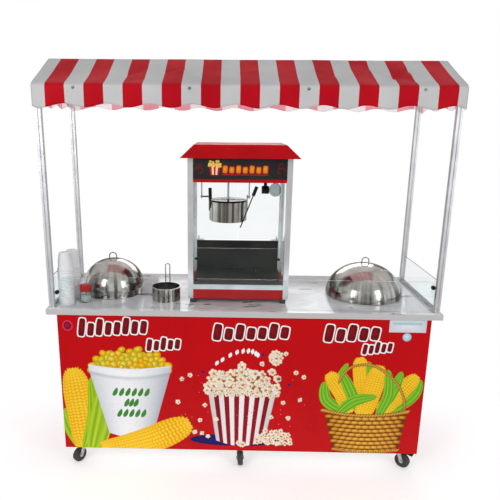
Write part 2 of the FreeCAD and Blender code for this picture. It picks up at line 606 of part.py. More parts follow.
def machine_glass():
    """Two side panes and the low front pane."""
    side_depth = f"{MACHINE_DEPTH} - 2 * corner_side"
    low = "deck_height - skirt_drop"
    left, right = f"{MACHINE_LEFT} + corner_side / 2", f"{MACHINE_LEFT} + machine_width - corner_side / 2"
    panes = [middle_block("pane", side_depth, f"roof_low - ({low})", x, MACHINE_Y, low) for x in (left, right)]
    panes.append(middle_block(f"{INNER_WIDTH} - 2", "pane", "front_pane_top - deck_height - metal",
                              "machine_x", "front_pane_inset - machine_front", "deck_height + metal"))
    node("machine_glass", group(*panes))


def machine_flap(side, label):
    """A clear operator's door with a bored boss at each corner of its hinge edge."""
    pivot = f"machine_x + {side} * ({INNER_WIDTH} / 2 - flap_pivot_inset)"
    width = f"({INNER_WIDTH} / 2 - flap_pivot_inset + flap_hinge_edge - flap_gap)"
    pane = middle_block(width, "pane", "flap_high - flap_low - 2 * flap_end_play",
                        f"machine_x + {side} * ({width} / 2 + flap_gap)", "flap_y", "flap_low + flap_end_play")
    bosses, bores = [], []
    for low in ("flap_low", "flap_high - flap_boss_height"):
        bosses.append(rod("flap_boss_radius", "flap_boss_height", pivot, "flap_y", low))
        bores.append(rod("flap_pin_radius + running_gap", "flap_boss_height + 2 * flap_end_play", pivot,
                         "flap_y", f"{low} - flap_end_play"))
    knob = rod("flap_knob_radius", "flap_knob_length", f"machine_x + {side} * flap_knob_x", "flap_y - pane",
               "(flap_low + flap_high) / 2", along="Y")
    node(label, fuse(cut(fuse(pane, *bosses), *bores), knob))


def door_pivots():
    """Bracket bars on the rear corner posts, each with a pin that a door boss turns on."""
    brackets = []
    for side in (-1, 1):
        pivot = f"machine_x + {side} * ({INNER_WIDTH} / 2 - flap_pivot_inset)"
        bar_x = f"machine_x + {side} * ({INNER_WIDTH} / 2 - bracket_inset)"
        for bar_low, pin_low in (("flap_low - bracket_thick - 1", "flap_low - flap_end_play"),
                                 ("flap_high + 1", "flap_high + flap_end_play - flap_boss_height")):
            bar = middle_block("bracket_width", "bracket_depth", "bracket_thick", bar_x, "flap_y", bar_low)
            pin = rod("flap_pin_radius", "flap_boss_height", pivot, "flap_y", pin_low)
            brackets.append(fuse(bar, pin))
    node("door_pivots", group(*brackets))


def switches():
    """Rocker switches in the rear wall of the upper housing, each flat face leaning back at rest."""
    for name, x in (("heat", "switch_heat_x"), ("motor", "switch_motor_x")):
        barrel = rod("switch_radius", "switch_length", "-switch_length / 2", 0, 0, along="X")
        face = middle_block("switch_length + 2", 20, 40, 0, "switch_flat + 10", -20)
        turned = turn(cut(barrel, face), (1, 0, 0), "switch_tilt")
        node(f"rocker_switch_{name}", place(turned, x, "machine_back - switch_inset", "switch_height"))


# Kettle --------------------------------------------------------------------------------------------

PIVOT_Z = "(kettle_rim + pivot_rise)"
LID_Z = "(kettle_rim + lid_hinge_rise)"


def hanger_arms():
    """Two flat bars down from the ceiling plate, bored for the kettle's trunnions."""
    arms = []
    for x in ("arm_left", "arm_right"):
        low_x = f"{x} - arm_thick / 2"
        bar = block("arm_thick", "arm_width", f"ceiling_plate - {PIVOT_Z}", low_x, "kettle_y - arm_width / 2",
                    PIVOT_Z)
        end = rod("arm_width / 2", "arm_thick", low_x, "kettle_y", PIVOT_Z, along="X")
        flange = middle_block("arm_flange", "arm_flange", "flange_thick", x, "kettle_y",
                              "ceiling_plate - flange_thick")
        bore = rod("trunnion_radius + running_gap", "arm_flange", f"{x} - arm_flange / 2", "kettle_y", PIVOT_Z,
                   along="X")
        arms.append(cut(fuse(bar, end, flange), bore))
    node("hanger_arms", group(*arms))


def kettle_pot():
    """Steel pot with a thick heated floor, a rolled rim, a crossbar for the lids and two trunnion ears."""
    x, y, low = "kettle_x", "kettle_y", "(kettle_rim - kettle_depth)"
    wall = rod("kettle_radius", "kettle_depth", x, y, low)
    rim = rod("kettle_radius + rolled_rim", "rolled_rim", x, y, "kettle_rim - rolled_rim")
    foot = rod("kettle_radius - foot_step", "foot_height", x, y, f"{low} - foot_height")
    ears = [middle_block("ear_thick", "ear_width", "ear_height", f"{x} + {side} * (kettle_radius + 0.5)", y,
                         f"{PIVOT_Z} - ear_drop") for side in (-1, 1)]
    left_end, right_end = "(arm_left - trunnion_reach)", "(arm_right + trunnion_reach)"
    trunnions = [rod("trunnion_radius", f"{x} - kettle_radius - {left_end}", left_end, y, PIVOT_Z,
                     along="X"),
                 rod("trunnion_radius", f"{right_end} - ({x} + kettle_radius)", f"{x} + kettle_radius", y,
                     PIVOT_Z, along="X")]
    hollow = rod("kettle_radius - kettle_wall", "kettle_depth", x, y, f"{low} + kettle_floor")
    shell = cut(fuse(wall, rim, foot, *ears, *trunnions), hollow)
    crossbar = middle_block("2 * kettle_radius - 2", "crossbar_width", "crossbar_thick", x, y, "kettle_rim")
    bearing = rod("stirrer_radius + running_gap", 20, x, y, "kettle_rim - 5")
    pieces = [shell, cut(crossbar, bearing)]
    for side in (-1, 1):
        hinge_y = f"{y} + {side} * lid_hinge_y"
        pieces.append(rod("lid_pin", "lid_pin_length", f"{x} - lid_pin_length / 2", hinge_y, LID_Z, along="X"))
        pieces += [middle_block(4, 5, "lid_hinge_rise + 2", f"{x} + {end} * pin_post_x",
                                f"{hinge_y} - {side} * 1.5", "kettle_rim") for end in (-1, 1)]
    node("kettle_pot", fuse(*pieces))


def kettle_lid(side, label):
    """Half a lid with a bored knuckle along its straight edge."""
    x, y = "kettle_x", "kettle_y"
    disc = rod("lid_radius", "lid_thick", x, y, f"{LID_Z} - lid_thick / 2")
    keep = middle_block("2 * lid_radius + 4", "lid_radius + 4", 20, x,
                        f"{y} + {side} * (lid_hinge_y + 0.5 + (lid_radius + 4) / 2)", f"{LID_Z} - 10")
    hinge_y = f"{y} + {side} * lid_hinge_y"
    notches = [middle_block(6, 12, 10, f"{x} + {end} * pin_post_x", hinge_y, f"{LID_Z} - 5") for end in (-1, 1)]
    knuckle = rod("lid_knuckle", "knuckle_length", f"{x} - knuckle_length / 2", hinge_y, LID_Z, along="X")
    bore = rod("lid_pin + running_gap", "lid_pin_length + 6", f"{x} - lid_pin_length / 2 - 3", hinge_y, LID_Z,
               along="X")
    tab = rod("lid_tab_radius", "lid_tab_height", x, f"{y} + {side} * lid_tab_y", LID_Z)
    node(label, cut(fuse(common(disc, keep), knuckle, tab), bore, *notches))


def slanted_grip(foot, top, bare):
    """A wire from the kettle's wall to a black grip. Its two ends are measured from the rim's centre, and
    bare is the share of its length below the grip."""
    dx, dy, dz = (t - f for f, t in zip(foot, top))
    run = (dx * dx + dy * dy + dz * dz) ** 0.5
    lean = FreeCAD.Rotation(FreeCAD.Vector(0, 0, 1), FreeCAD.Vector(dx, dy, dz))
    pieces = []
    for radius, start, length in (("grip_wire", 0, run), ("grip_radius", run * bare, run * (1 - bare))):
        piece = bind(doc.addObject("Part::Cylinder", "grip"), Radius=radius, Height=length)
        piece.Placement = FreeCAD.Placement(FreeCAD.Vector(), lean)
        offset = lean.multVec(FreeCAD.Vector(0, 0, start))
        pieces.append(place(piece, f"kettle_x + {foot[0] + offset.x}", f"kettle_y + {foot[1] + offset.y}",
                            f"kettle_rim + {foot[2] + offset.z}"))
    return fuse(*pieces)


def kettle_handles():
    left = slanted_grip(foot=(-88, -36, -34), top=(-90, -60, 68), bare=0.46)
    right = slanted_grip(foot=(62, -66, -125), top=(140, -60, 78), bare=0.78)
    node("kettle_handles", group(left, right))


def stirrer():
    """Shaft down the middle of the kettle with a sweeping bar just above its floor."""
    floor = "(kettle_rim - kettle_depth + kettle_floor)"
    shaft = rod("stirrer_radius", f"kettle_rim + stirrer_top - {floor} - sweep_rise / 2", "kettle_x", "kettle_y",
                f"{floor} + sweep_rise / 2")
    bar = middle_block("2 * stirrer_reach", "sweep_width", "sweep_thick", "kettle_x", "kettle_y",
                       f"{floor} + sweep_rise")
    fins = [middle_block("fin_thick", "sweep_width", "fin_height",
                         f"kettle_x + {side} * (stirrer_reach - fin_thick / 2)", "kettle_y",
                         f"{floor} + sweep_rise") for side in (-1, 1)]
    node("stirrer", fuse(shaft, bar, *fins))


def drive():
    """Gear motor on the ceiling plate, and the shaft that hangs from it to just above the stirrer."""
    low = "kettle_rim + stirrer_top + drive_gap"
    plate_top = "ceiling_plate + metal"
    top = f"{plate_top} + motor_socket"
    node("drive_shaft", rod("drive_radius", f"{top} - ({low})", "kettle_x", "kettle_y", low))
    gearbox = middle_block("motor_width", "motor_width", "motor_height", "kettle_x", "kettle_y", plate_top)
    winding = rod("motor_width / 2 - 8", "winding_height", "kettle_x", "kettle_y",
                  f"{plate_top} + motor_height")
    socket = rod("drive_radius + running_gap", "motor_socket + 1.5", "kettle_x", "kettle_y",
                 f"{plate_top} - 1")
    node("drive_motor", cut(fuse(gearbox, winding), socket))


def lamp():
    """Warming lamp lying under the ceiling plate: a holder on a bracket, and a clear bulb."""
    holder = rod("socket_radius", "socket_length", "lamp_x", "lamp_y", "lamp_z", along="X")
    bracket = middle_block("lamp_bracket", "lamp_bracket", "ceiling_plate - lamp_z",
                           "lamp_x + socket_length / 2", "lamp_y", "lamp_z")
    node("lamp_holder", fuse(holder, bracket))

    def globe(inset):
        shape = bind(doc.addObject("Part::Ellipsoid", "globe"), Radius1=f"bulb_radius - {inset}",
                     Radius2=f"bulb_length / 2 - {inset}", Radius3=f"bulb_radius - {inset}")
        shape.Angle1, shape.Angle2 = -90, 90
        return place(shape, "lamp_x + socket_length + bulb_length / 2", "lamp_y", "lamp_z")

    node("lamp_bulb", cut(globe("0"), globe("bulb_wall")))


# Pots ----------------------------------------------------------------------------------------------

def pot(kind):
    """A deep pot that hangs by its flange in a cut-out of the worktop."""
    x, y, radius = f"{kind}_pot_x", f"{kind}_pot_y", f"{kind}_pot_radius"
    height = f"{kind}_pot_rim - {kind}_pot_low"
    wall = rod(radius, height, x, y, f"{kind}_pot_low")
    flange = rod(f"{kind}_pot_flange", "flange_sheet", x, y, "worktop_top")
    lip = rod(f"{radius} + lip_width_pot", "flange_sheet", x, y, f"{kind}_pot_rim - flange_sheet")
    hollow = rod(f"{radius} - pot_wall", height, x, y, f"{kind}_pot_low + pot_wall")
    node(f"{kind}_pot", cut(fuse(wall, flange, lip), hollow))


def dome(kind, inset):
    """The upper half of an ellipsoid over the pot's rim."""
    shape = bind(doc.addObject("Part::Ellipsoid", "dome"), Radius1=f"{kind}_lid_height - {inset}",
                 Radius2=f"{kind}_lid_radius - {inset}", Radius3=f"{kind}_lid_radius - {inset}")
    shape.Angle1, shape.Angle2 = 0, 90
    return place(shape, f"{kind}_pot_x", f"{kind}_pot_y", f"{kind}_pot_rim")


def loop_handle(x, y, low, radius, wire, leg):
    """An upright wire loop: two legs and a half ring, in the XZ plane."""
    legs = [rod(wire, leg, f"{x} + {side} * ({radius})", y, low) for side in (-1, 1)]
    arch = bind(doc.addObject("Part::Torus", "arch"), Radius1=radius, Radius2=wire)
    arch.Angle1, arch.Angle2, arch.Angle3 = -180, 180, 180
    turn(arch, (1, 0, 0), 90)
    place(arch, x, y, f"{low} + {leg}")
    return fuse(*legs, arch)


def pot_lid(kind):
    """Domed lid with a turned-down skirt, a ledge that rests on the pot and a wire loop on top."""
    x, y, outer, rim = f"{kind}_pot_x", f"{kind}_pot_y", f"{kind}_lid_radius", f"{kind}_pot_rim"
    shell = cut(dome(kind, "0"), dome(kind, "pot_wall"))
    skirt_low = f"{rim} - lid_skirt + skirt_rise" if kind == "corn" else rim
    skirt = ring(outer, f"{outer} - pot_wall", f"{rim} + skirt_rise - ({skirt_low})", x, y, skirt_low)
    ledge = ring(f"{outer} - pot_wall / 2", f"{kind}_pot_radius - 1", "pot_wall", x, y, rim)
    loop = loop_handle(x, y, f"{rim} + {kind}_lid_height - loop_sink", "loop_radius", "loop_wire", "loop_leg")
    node(f"{kind}_pot_lid", fuse(shell, skirt, ledge, loop))


def pot_heaters():
    """A hotplate on four legs under each pot, standing on the shelf."""
    heaters = []
    for kind in ("corn", "cob"):
        x, y = f"{kind}_pot_x", f"{kind}_pot_y"
        low = f"({kind}_pot_low - heater_gap - heater_thick)"
        stand_low = "(shelf_height + board)"
        legs = [rod("heater_leg", f"{low} - {stand_low}", f"{x} + {i} * heater_leg_x",
                    f"{y} + {j} * heater_leg_x", stand_low) for i in (-1, 1) for j in (-1, 1)]
        heaters.append(fuse(rod(f"{kind}_heater_radius", "heater_thick", x, y, low), *legs))
    node("pot_heaters", group(*heaters))


def saucepan():
    wall = rod("pan_radius", "pan_height", "pan_x", "pan_y", "worktop_top")
    rim = rod("pan_radius + 3", "pan_bottom", "pan_x", "pan_y", "worktop_top + pan_height - pan_bottom")
    hollow = rod("pan_radius - pan_wall", "pan_height", "pan_x", "pan_y", "worktop_top + pan_bottom")
    low = "(worktop_top + pan_clip_low)"
    loop = loop_handle("pan_x", "pan_y + pan_radius + 5", low, "pan_loop", "pan_wire",
                       f"pan_handle_top - {low} - pan_loop")
    clip = middle_block("2 * pan_loop + 8", "pan_clip_thick", "pan_clip_height", "pan_x",
                        "pan_y + pan_radius + 2.4", f"{low} + 2")
    node("saucepan", fuse(cut(fuse(wall, rim), hollow), loop, clip))


def check_and_write():
    """Stops if any object failed or a sub-part isn't sound, then writes one file for each sub-part."""
    doc.recompute()
    failed = [thing.Name for thing in doc.Objects if "Invalid" in thing.State or "Error" in thing.State]
    unsound = [piece.Label for piece in nodes if piece.Shape.isNull() or not piece.Shape.isValid()]
    if failed or unsound:
        raise RuntimeError(f"failed objects {failed}, unsound sub-parts {unsound}")
    os.makedirs("parts", exist_ok=True)
    for piece in nodes:
        piece.Shape.exportStep(f"parts/{piece.Label}.step")


def main():
    fill_sheet()
    worktop()
    cabinet_boards()
    cabinet_rear()
    canopy_posts()
    canopy_frame()
    canopy_cover()
    guards()
    casters()
    brake_pedal()
    machine_stand()
    floor_deck()
    crumb_drawer()
    machine_ceiling()
    machine_roof()
    machine_glass()
    machine_flap(-1, "machine_door_left")
    machine_flap(1, "machine_door_right")
    door_pivots()
    switches()
    hanger_arms()
    kettle_pot()
    kettle_lid(-1, "kettle_lid_front")
    kettle_lid(1, "kettle_lid_rear")
    kettle_handles()
    stirrer()
    drive()
    lamp()
    for kind in ("corn", "cob"):
        pot(kind)
        pot_lid(kind)
    pot_heaters()
    saucepan()
    check_and_write()


main()
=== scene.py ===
import random
from math import atan2, cos, exp, pi, radians, sin

import bpy
from mathutils import Euler, Matrix, Vector, noise


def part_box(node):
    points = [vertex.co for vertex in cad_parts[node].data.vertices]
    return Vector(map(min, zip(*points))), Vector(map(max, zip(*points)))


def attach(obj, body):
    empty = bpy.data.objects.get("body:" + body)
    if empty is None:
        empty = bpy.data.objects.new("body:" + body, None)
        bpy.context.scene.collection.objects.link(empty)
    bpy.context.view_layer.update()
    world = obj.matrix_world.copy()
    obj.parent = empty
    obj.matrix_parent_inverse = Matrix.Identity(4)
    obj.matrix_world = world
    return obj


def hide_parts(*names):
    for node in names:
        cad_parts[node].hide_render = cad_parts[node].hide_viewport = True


# The popcorn cart's looks, built round its CAD frame. Sizes in this script are millimetres unless a line says
# otherwise, +Z up, -Y towards the customers. Objects are made in metres.

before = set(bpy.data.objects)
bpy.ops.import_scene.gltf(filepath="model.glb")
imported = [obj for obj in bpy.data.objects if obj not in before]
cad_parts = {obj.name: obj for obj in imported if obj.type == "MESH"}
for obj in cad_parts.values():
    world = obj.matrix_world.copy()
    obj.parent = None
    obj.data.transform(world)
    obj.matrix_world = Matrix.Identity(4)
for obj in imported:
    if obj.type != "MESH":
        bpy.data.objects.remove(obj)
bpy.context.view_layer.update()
MM = 0.001


def box(node):
    """A CAD node's lowest and highest corner, in millimetres."""
    low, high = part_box(node)
    return low / MM, high / MM


def linear(level):
    """A display level, 0 to 255, as the linear value that shaders take."""
    return ((level / 255 + 0.055) / 1.055) ** 2.4 if level > 10 else level / 255 / 12.92


def rgb(red, green, blue):
    return linear(red), linear(green), linear(blue), 1


def dimmed(colour, share):
    return tuple(share * c for c in colour[:3]) + (1,)


def add(name, data):
    """A new object in the scene."""
    made = bpy.data.objects.new(name, data)
    bpy.context.scene.collection.objects.link(made)
    return made


# Finishes ----------------------------------------------------

class Shading:
    """Adds nodes to a node tree. An input is a value, or another node's output to link."""

    def __init__(self, tree):
        self.tree = tree

    def feed(self, socket, value):
        if isinstance(value, bpy.types.NodeSocket):
            self.tree.links.new(value, socket)
        else:
            socket.default_value = value

    def node(self, kind, inputs=None, **settings):
        made = self.tree.nodes.new(kind)
        for key, value in settings.items():
            setattr(made, key, value)
        for key, value in (inputs or {}).items():
            self.feed(made.inputs[key], value)
        return made

    def span(self, value, low, high, out_low=0.0, out_high=1.0):
        """The value's range low..high stretched onto out_low..out_high, and held there outside it."""
        inputs = {0: value, 1: low, 2: high, 3: out_low, 4: out_high}
        return self.node("ShaderNodeMapRange", inputs).outputs[0]

    def maths(self, operation, first, second=0.0):
        return self.node("ShaderNodeMath", {0: first, 1: second}, operation=operation).outputs[0]

    def split(self, vector):
        return self.node("ShaderNodeSeparateXYZ", {0: vector}).outputs


class Finish(Shading):
    """A material on one Principled surface, with textures in object space, where one unit is a metre."""

    def __init__(self, name, colour, roughness, metallic=0.0, shine=0.5):
        self.material = bpy.data.materials.new(name)
        self.material.use_nodes = True
        super().__init__(self.material.node_tree)
        self.surface = self.tree.nodes["Principled BSDF"]
        self.normal = None
        place = self.node("ShaderNodeTexCoord")
        self.place, self.uv = place.outputs["Object"], place.outputs["UV"]
        self.set("Base Color", colour)
        self.set("Roughness", roughness)
        self.set("Metallic", metallic)
        self.set("Specular IOR Level", shine)

    def set(self, name, value):
        self.feed(self.surface.inputs[name], value)
        return self

    def stretched(self, scale, turn=(0, 0, 0)):
        """Object space with each axis scaled, for grain, veins and wipes."""
        inputs = {"Vector": self.place, "Scale": scale, "Rotation": turn}
        return self.node("ShaderNodeMapping", inputs).outputs[0]

    def noise(self, scale, detail=3.0, place=None, distortion=0.0):
        inputs = {"Vector": place or self.place, "Scale": scale, "Detail": detail, "Distortion": distortion}
        return self.node("ShaderNodeTexNoise", inputs).outputs["Fac"]

    def cells(self, scale, output="Distance"):
        return self.node("ShaderNodeTexVoronoi", {"Vector": self.place, "Scale": scale}).outputs[output]

    def mix(self, share, first, second):
        made = self.node("ShaderNodeMix", data_type="RGBA")
        self.feed(made.inputs[0], share)
        self.feed(made.inputs[6], first)
        self.feed(made.inputs[7], second)
        return made.outputs[2]

    def facing(self):
        """The surface's own direction, as three numbers."""
        return self.split(self.node("ShaderNodeNewGeometry").outputs["Normal"])

    def bump(self, height, distance, strength=1.0):
        inputs = {"Height": height, "Distance": distance, "Strength": strength}
        if self.normal:
            inputs["Normal"] = self.normal
        self.normal = self.node("ShaderNodeBump", inputs).outputs[0]
        return self.set("Normal", self.normal)

    def worn(self, colour, darker, scale, rough_low, rough_high):
        """Faint clouds in the colour, and the same clouds in the roughness."""
        clouds = self.noise(scale, 4.0)
        self.set("Base Color", self.mix(self.span(clouds, 0.3, 0.7), colour, darker))
        return self.set("Roughness", self.span(clouds, 0.3, 0.7, rough_low, rough_high))


LOW_SHEEN = 0.15                # mirror strength of paint, foil and film in this studio's pale surroundings
SCRATCH_SCALE = 900.0           # brushing lines in a metre of metal


def paint(name, colour, darker, roughness, peel=0.00004):
    """Sprayed or moulded colour with a slight orange peel."""
    made = Finish(name, colour, roughness, shine=LOW_SHEEN)
    made.worn(colour, darker, 9.0, roughness * 0.8, roughness * 1.3)
    return made.bump(made.noise(420.0, 2.0), peel)


def steel(name, colour, darker, roughness, grain, painted_reflection_bands=None):
    """Metal with a fine grain: grain is the stretch of its scratches along X, Y and Z. The last argument, if
    given, is the colour of upright dark bands painted round a turned piece: painted reflections on polished
    metal."""
    made = Finish(name, colour, roughness, 1.0)
    lines = made.noise(SCRATCH_SCALE, 2.0, made.stretched(grain))
    clouds = made.noise(14.0, 3.0)
    tone = made.mix(made.span(clouds, 0.3, 0.7), colour, darker)
    if painted_reflection_bands:
        # painted reflections: dark upright bands mixed into the colour on steep faces, set by which way each
        # face turns
        made.set("Anisotropic", 0.6)
        way = made.node("ShaderNodeNewGeometry").outputs["Normal"]
        level = made.node("ShaderNodeVectorMath", {0: way, 1: (1, 1, 0)}, operation="MULTIPLY").outputs[0]
        level = made.node("ShaderNodeVectorMath", {0: level}, operation="NORMALIZE").outputs[0]
        steep = made.span(made.facing()[2], 0.25, 0.85, 1.0, 0.0)
        share = made.maths("MULTIPLY", made.span(made.noise(5.2, 3.0, level), 0.42, 0.58), steep)
        tone = made.mix(share, tone, painted_reflection_bands)
    made.set("Base Color", tone)
    smudged = made.maths("ADD", made.span(lines, 0.3, 0.7, -0.04, 0.05),
                         made.span(clouds, 0.3, 0.75, 0.0, 0.06))
    made.set("Roughness", made.maths("ADD", smudged, roughness))
    return made.bump(lines, 0.00002, 0.5)


def marble():
    """Gloss laminate with short dark diagonal veins on top and a plain grey band round the edge."""
    made = Finish("marble_laminate", rgb(215, 213, 212), 0.12)
    clouds = made.noise(7.0, 5.0, distortion=0.8)
    ground = made.mix(made.span(clouds, 0.35, 0.7), rgb(232, 232, 234), rgb(200, 201, 205))
    slanted = made.stretched((1.0, 4.5, 1.0), (0, 0, radians(38)))
    veins = made.span(made.noise(4.6, 2.0, slanted, 0.5), 0.62, 0.65)
    ends = made.span(made.noise(11.0, 2.0), 0.5, 0.6)
    specks = made.maths("MULTIPLY", veins, ends)
    top = made.mix(made.maths("MULTIPLY", specks, 0.8), ground, rgb(62, 58, 62))
    upward = made.span(made.facing()[2], 0.4, 0.6)
    made.set("Base Color", made.mix(upward, rgb(196, 193, 192), top))
    made.set("Roughness", made.maths("ADD", made.span(clouds, 0.3, 0.7, 0.04, 0.11),
                                     made.span(upward, 0.0, 1.0, 0.3, 0.0)))
    return made.bump(made.noise(160.0, 2.0), 0.00003)


def galvanised():
    """Zinc with its crystal spangle."""
    made = Finish("zinc_steel", rgb(176, 178, 182), 0.35, 1.0)
    tone = made.split(made.cells(260.0, "Color"))[0]
    made.set("Base Color", made.mix(tone, rgb(150, 152, 158), rgb(200, 201, 204)))
    made.set("Roughness", made.span(tone, 0.0, 1.0, 0.28, 0.46))
    return made.bump(made.noise(500.0, 2.0), 0.00003)


def board(name, colour, darker, roughness):
    """Foil-faced board with a faint pressed grain."""
    made = Finish(name, colour, roughness, shine=LOW_SHEEN)
    made.worn(colour, darker, 5.0, roughness * 0.85, roughness * 1.2)
    grain = made.noise(240.0, 3.0, made.stretched((1.0, 1.0, 0.12)))
    return made.bump(grain, 0.00005)


def clear(name, tint, roughness):
    """Clear sheet with wiping marks in its gloss."""
    made = Finish(name, tint, roughness)
    made.set("Transmission Weight", 1.0).set("IOR", 1.22)
    wipes = made.noise(8.0, 3.0, made.stretched((1.0, 1.0, 2.4)), 0.6)
    made.set("Roughness", made.span(wipes, 0.4, 0.75, roughness, roughness + 0.03))
    made.set("Base Color", made.mix(made.span(wipes, 0.3, 0.8), tint, dimmed(tint, 0.97)))
    return made.bump(made.noise(30.0, 2.0), 0.00001)


def rubber():
    made = Finish("wheel_rubber", rgb(40, 40, 42), 0.6)
    made.worn(rgb(38, 38, 40), rgb(72, 70, 68), 30.0, 0.5, 0.8)
    return made.bump(made.noise(900.0, 3.0), 0.00008)


def cast_metal():
    made = Finish("motor_iron", rgb(70, 72, 76), 0.5, 0.8)
    made.worn(rgb(66, 68, 72), rgb(96, 96, 98), 24.0, 0.4, 0.65)
    return made.bump(made.noise(700.0, 3.0), 0.0001)


def brushed_tray():
    """Dark enamelled floor with dull heat marks."""
    made = Finish("dark_enamel", rgb(34, 33, 33), 0.45, shine=LOW_SHEEN)
    made.worn(rgb(36, 35, 36), rgb(60, 57, 55), 8.0, 0.4, 0.6)
    return made.bump(made.noise(380.0, 3.0), 0.00004)


FINISHES = (
    marble(),
    board("print_red", rgb(199, 0, 10), rgb(188, 0, 9), 0.24),
    board("board_red", rgb(192, 2, 12), rgb(174, 1, 9), 0.3),
    board("board_white", rgb(232, 231, 228), rgb(220, 219, 216), 0.35),
    galvanised(),
    steel("post_aluminium", rgb(232, 233, 236), rgb(214, 216, 220), 0.42, (1, 1, 0.02)),
    clear("clear_acrylic", rgb(246, 250, 250), 0.015),
    paint("grey_plastic", rgb(196, 198, 201), rgb(182, 184, 188), 0.42),
    paint("black_plastic", rgb(26, 26, 28), rgb(36, 36, 38), 0.38, 0.00008),
    paint("red_enamel", rgb(190, 2, 14), rgb(170, 1, 10), 0.42),
    rubber(),
    brushed_tray(),
    steel("brushed_stainless", rgb(186, 187, 190), rgb(160, 162, 166), 0.3, (1, 1, 0.03)),
    # painted reflections: dark upright bands in the polished steel's colour
    steel("polished_stainless", rgb(200, 196, 191), rgb(168, 163, 157), 0.13,
          (0.03, 0.03, 1), painted_reflection_bands=rgb(82, 77, 72)),
    paint("sign_black", rgb(40, 36, 38), rgb(52, 46, 48), 0.26),
    clear("pane_glass", rgb(242, 250, 247), 0.008),
    paint("white_enamel", rgb(228, 229, 230), rgb(214, 215, 217), 0.3),
    cast_metal(),
    paint("switch_plastic", rgb(150, 22, 20), rgb(128, 14, 14), 0.3),
    paint("striped_cloth", rgb(214, 213, 212), rgb(200, 199, 199), 0.7),
)
by_slot = {made.material.name.split(".")[0]: made.material for made in FINISHES}
for cad_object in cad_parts.values():
    for slot in cad_object.material_slots:
        slot.material = by_slot[slot.material.name.split(".")[0]]
burnt_steel = steel("burnt_steel", rgb(74, 70, 66), rgb(46, 43, 41), 0.3, (1, 1, 0.03))
for node, finish in (("kettle_lid_front", burnt_steel), ("kettle_lid_rear", burnt_steel),
                     ("lamp_bulb", clear("bulb_glass", rgb(198, 205, 208), 0.05))):
    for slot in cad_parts[node].material_slots:
        slot.material = finish.material


# Meshes ------------------------------------------------------

def mesh_piece(name, points, faces, finishes, smooth=True):
    """An object from points in millimetres, riding on the cart itself."""
    mesh = bpy.data.meshes.new(name)
    mesh.from_pydata([tuple(c * MM for c in p) for p in points], [], faces)
    mesh.polygons.foreach_set("use_smooth", [smooth] * len(faces))
    for finish in finishes:
        mesh.materials.append(finish.material)
    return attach(add(name, mesh), "cart")


def turned(name, profile, centre, finish, sides):
    """A lathe piece: profile is (radius, height) pairs, from the bottom centre to the top centre."""
    points, faces = [], []
    for radius, height in profile:
        for step in range(sides):
            angle = 2 * pi * step / sides
            points.append((centre[0] + radius * cos(angle), centre[1] + radius * sin(angle),
                           centre[2] + height))
    for row in range(len(profile) - 1):
        for step in range(sides):
            after = (step + 1) % sides
            faces.append((row * sides + step, row * sides + after,
                          (row + 1) * sides + after, (row + 1) * sides + step))
    return mesh_piece(name, points, faces, [finish])


# Canopy ------------------------------------------------------

COVER_LOW, COVER_HIGH = box("canopy_cover")
SHEET = 1.2                     # the cloth's thickness
RIDGE_RISE = 135                # the ridge above the eaves
EAVE = COVER_HIGH.z - SHEET - RIDGE_RISE
RAFTER_BAYS, BAY_SAG = 3, 9     # how many bays the rafters leave, and how far the cloth sags in each
HEM_WAVE, HEM_PHASE = 188, 706  # a scallop's length, and its shift along the hem
HEM_HEIGHT, HEM_REST = 8, 10    # half a scallop's height, and the hem's mean place above the CAD box's foot
STRIPE_PITCH, STRIPE_WIDTH, STRIPE_SHIFT = 169.3, 85, 10        # of the red stripes
STRIPE_BLUR = 0.005             # half the width of a stripe's edge, as a share of the pitch
CORNER_REACH = 45               # how far from a corner the hem droops
CREASES = ((-640, 260, 34, 8), (-560, 420, 22, 5), (-130, -240, 30, 5), (300, 230, 30, 6), (520, 330, 26, 8),
           (790, -300, 36, 9))      # where a slack fold meets the eave, how far it leans, its width and depth
VALANCE_ROWS, ROOF_ROWS, SHEET_COLUMNS = 9, 24, 236
SOFTEN_ROUNDS = 2               # how often the folds along the eaves and the ridge are averaged
UNDERSIDE_PAINTED_GLOW = 0.38           # painted light: how strongly the underside glows, standing in for daylight that comes through the cloth, seen from below
TOP_PAINTED_SHADE = 0.22                 # painted shade: how much darker the cloth's upper side is painted where it faces the sky


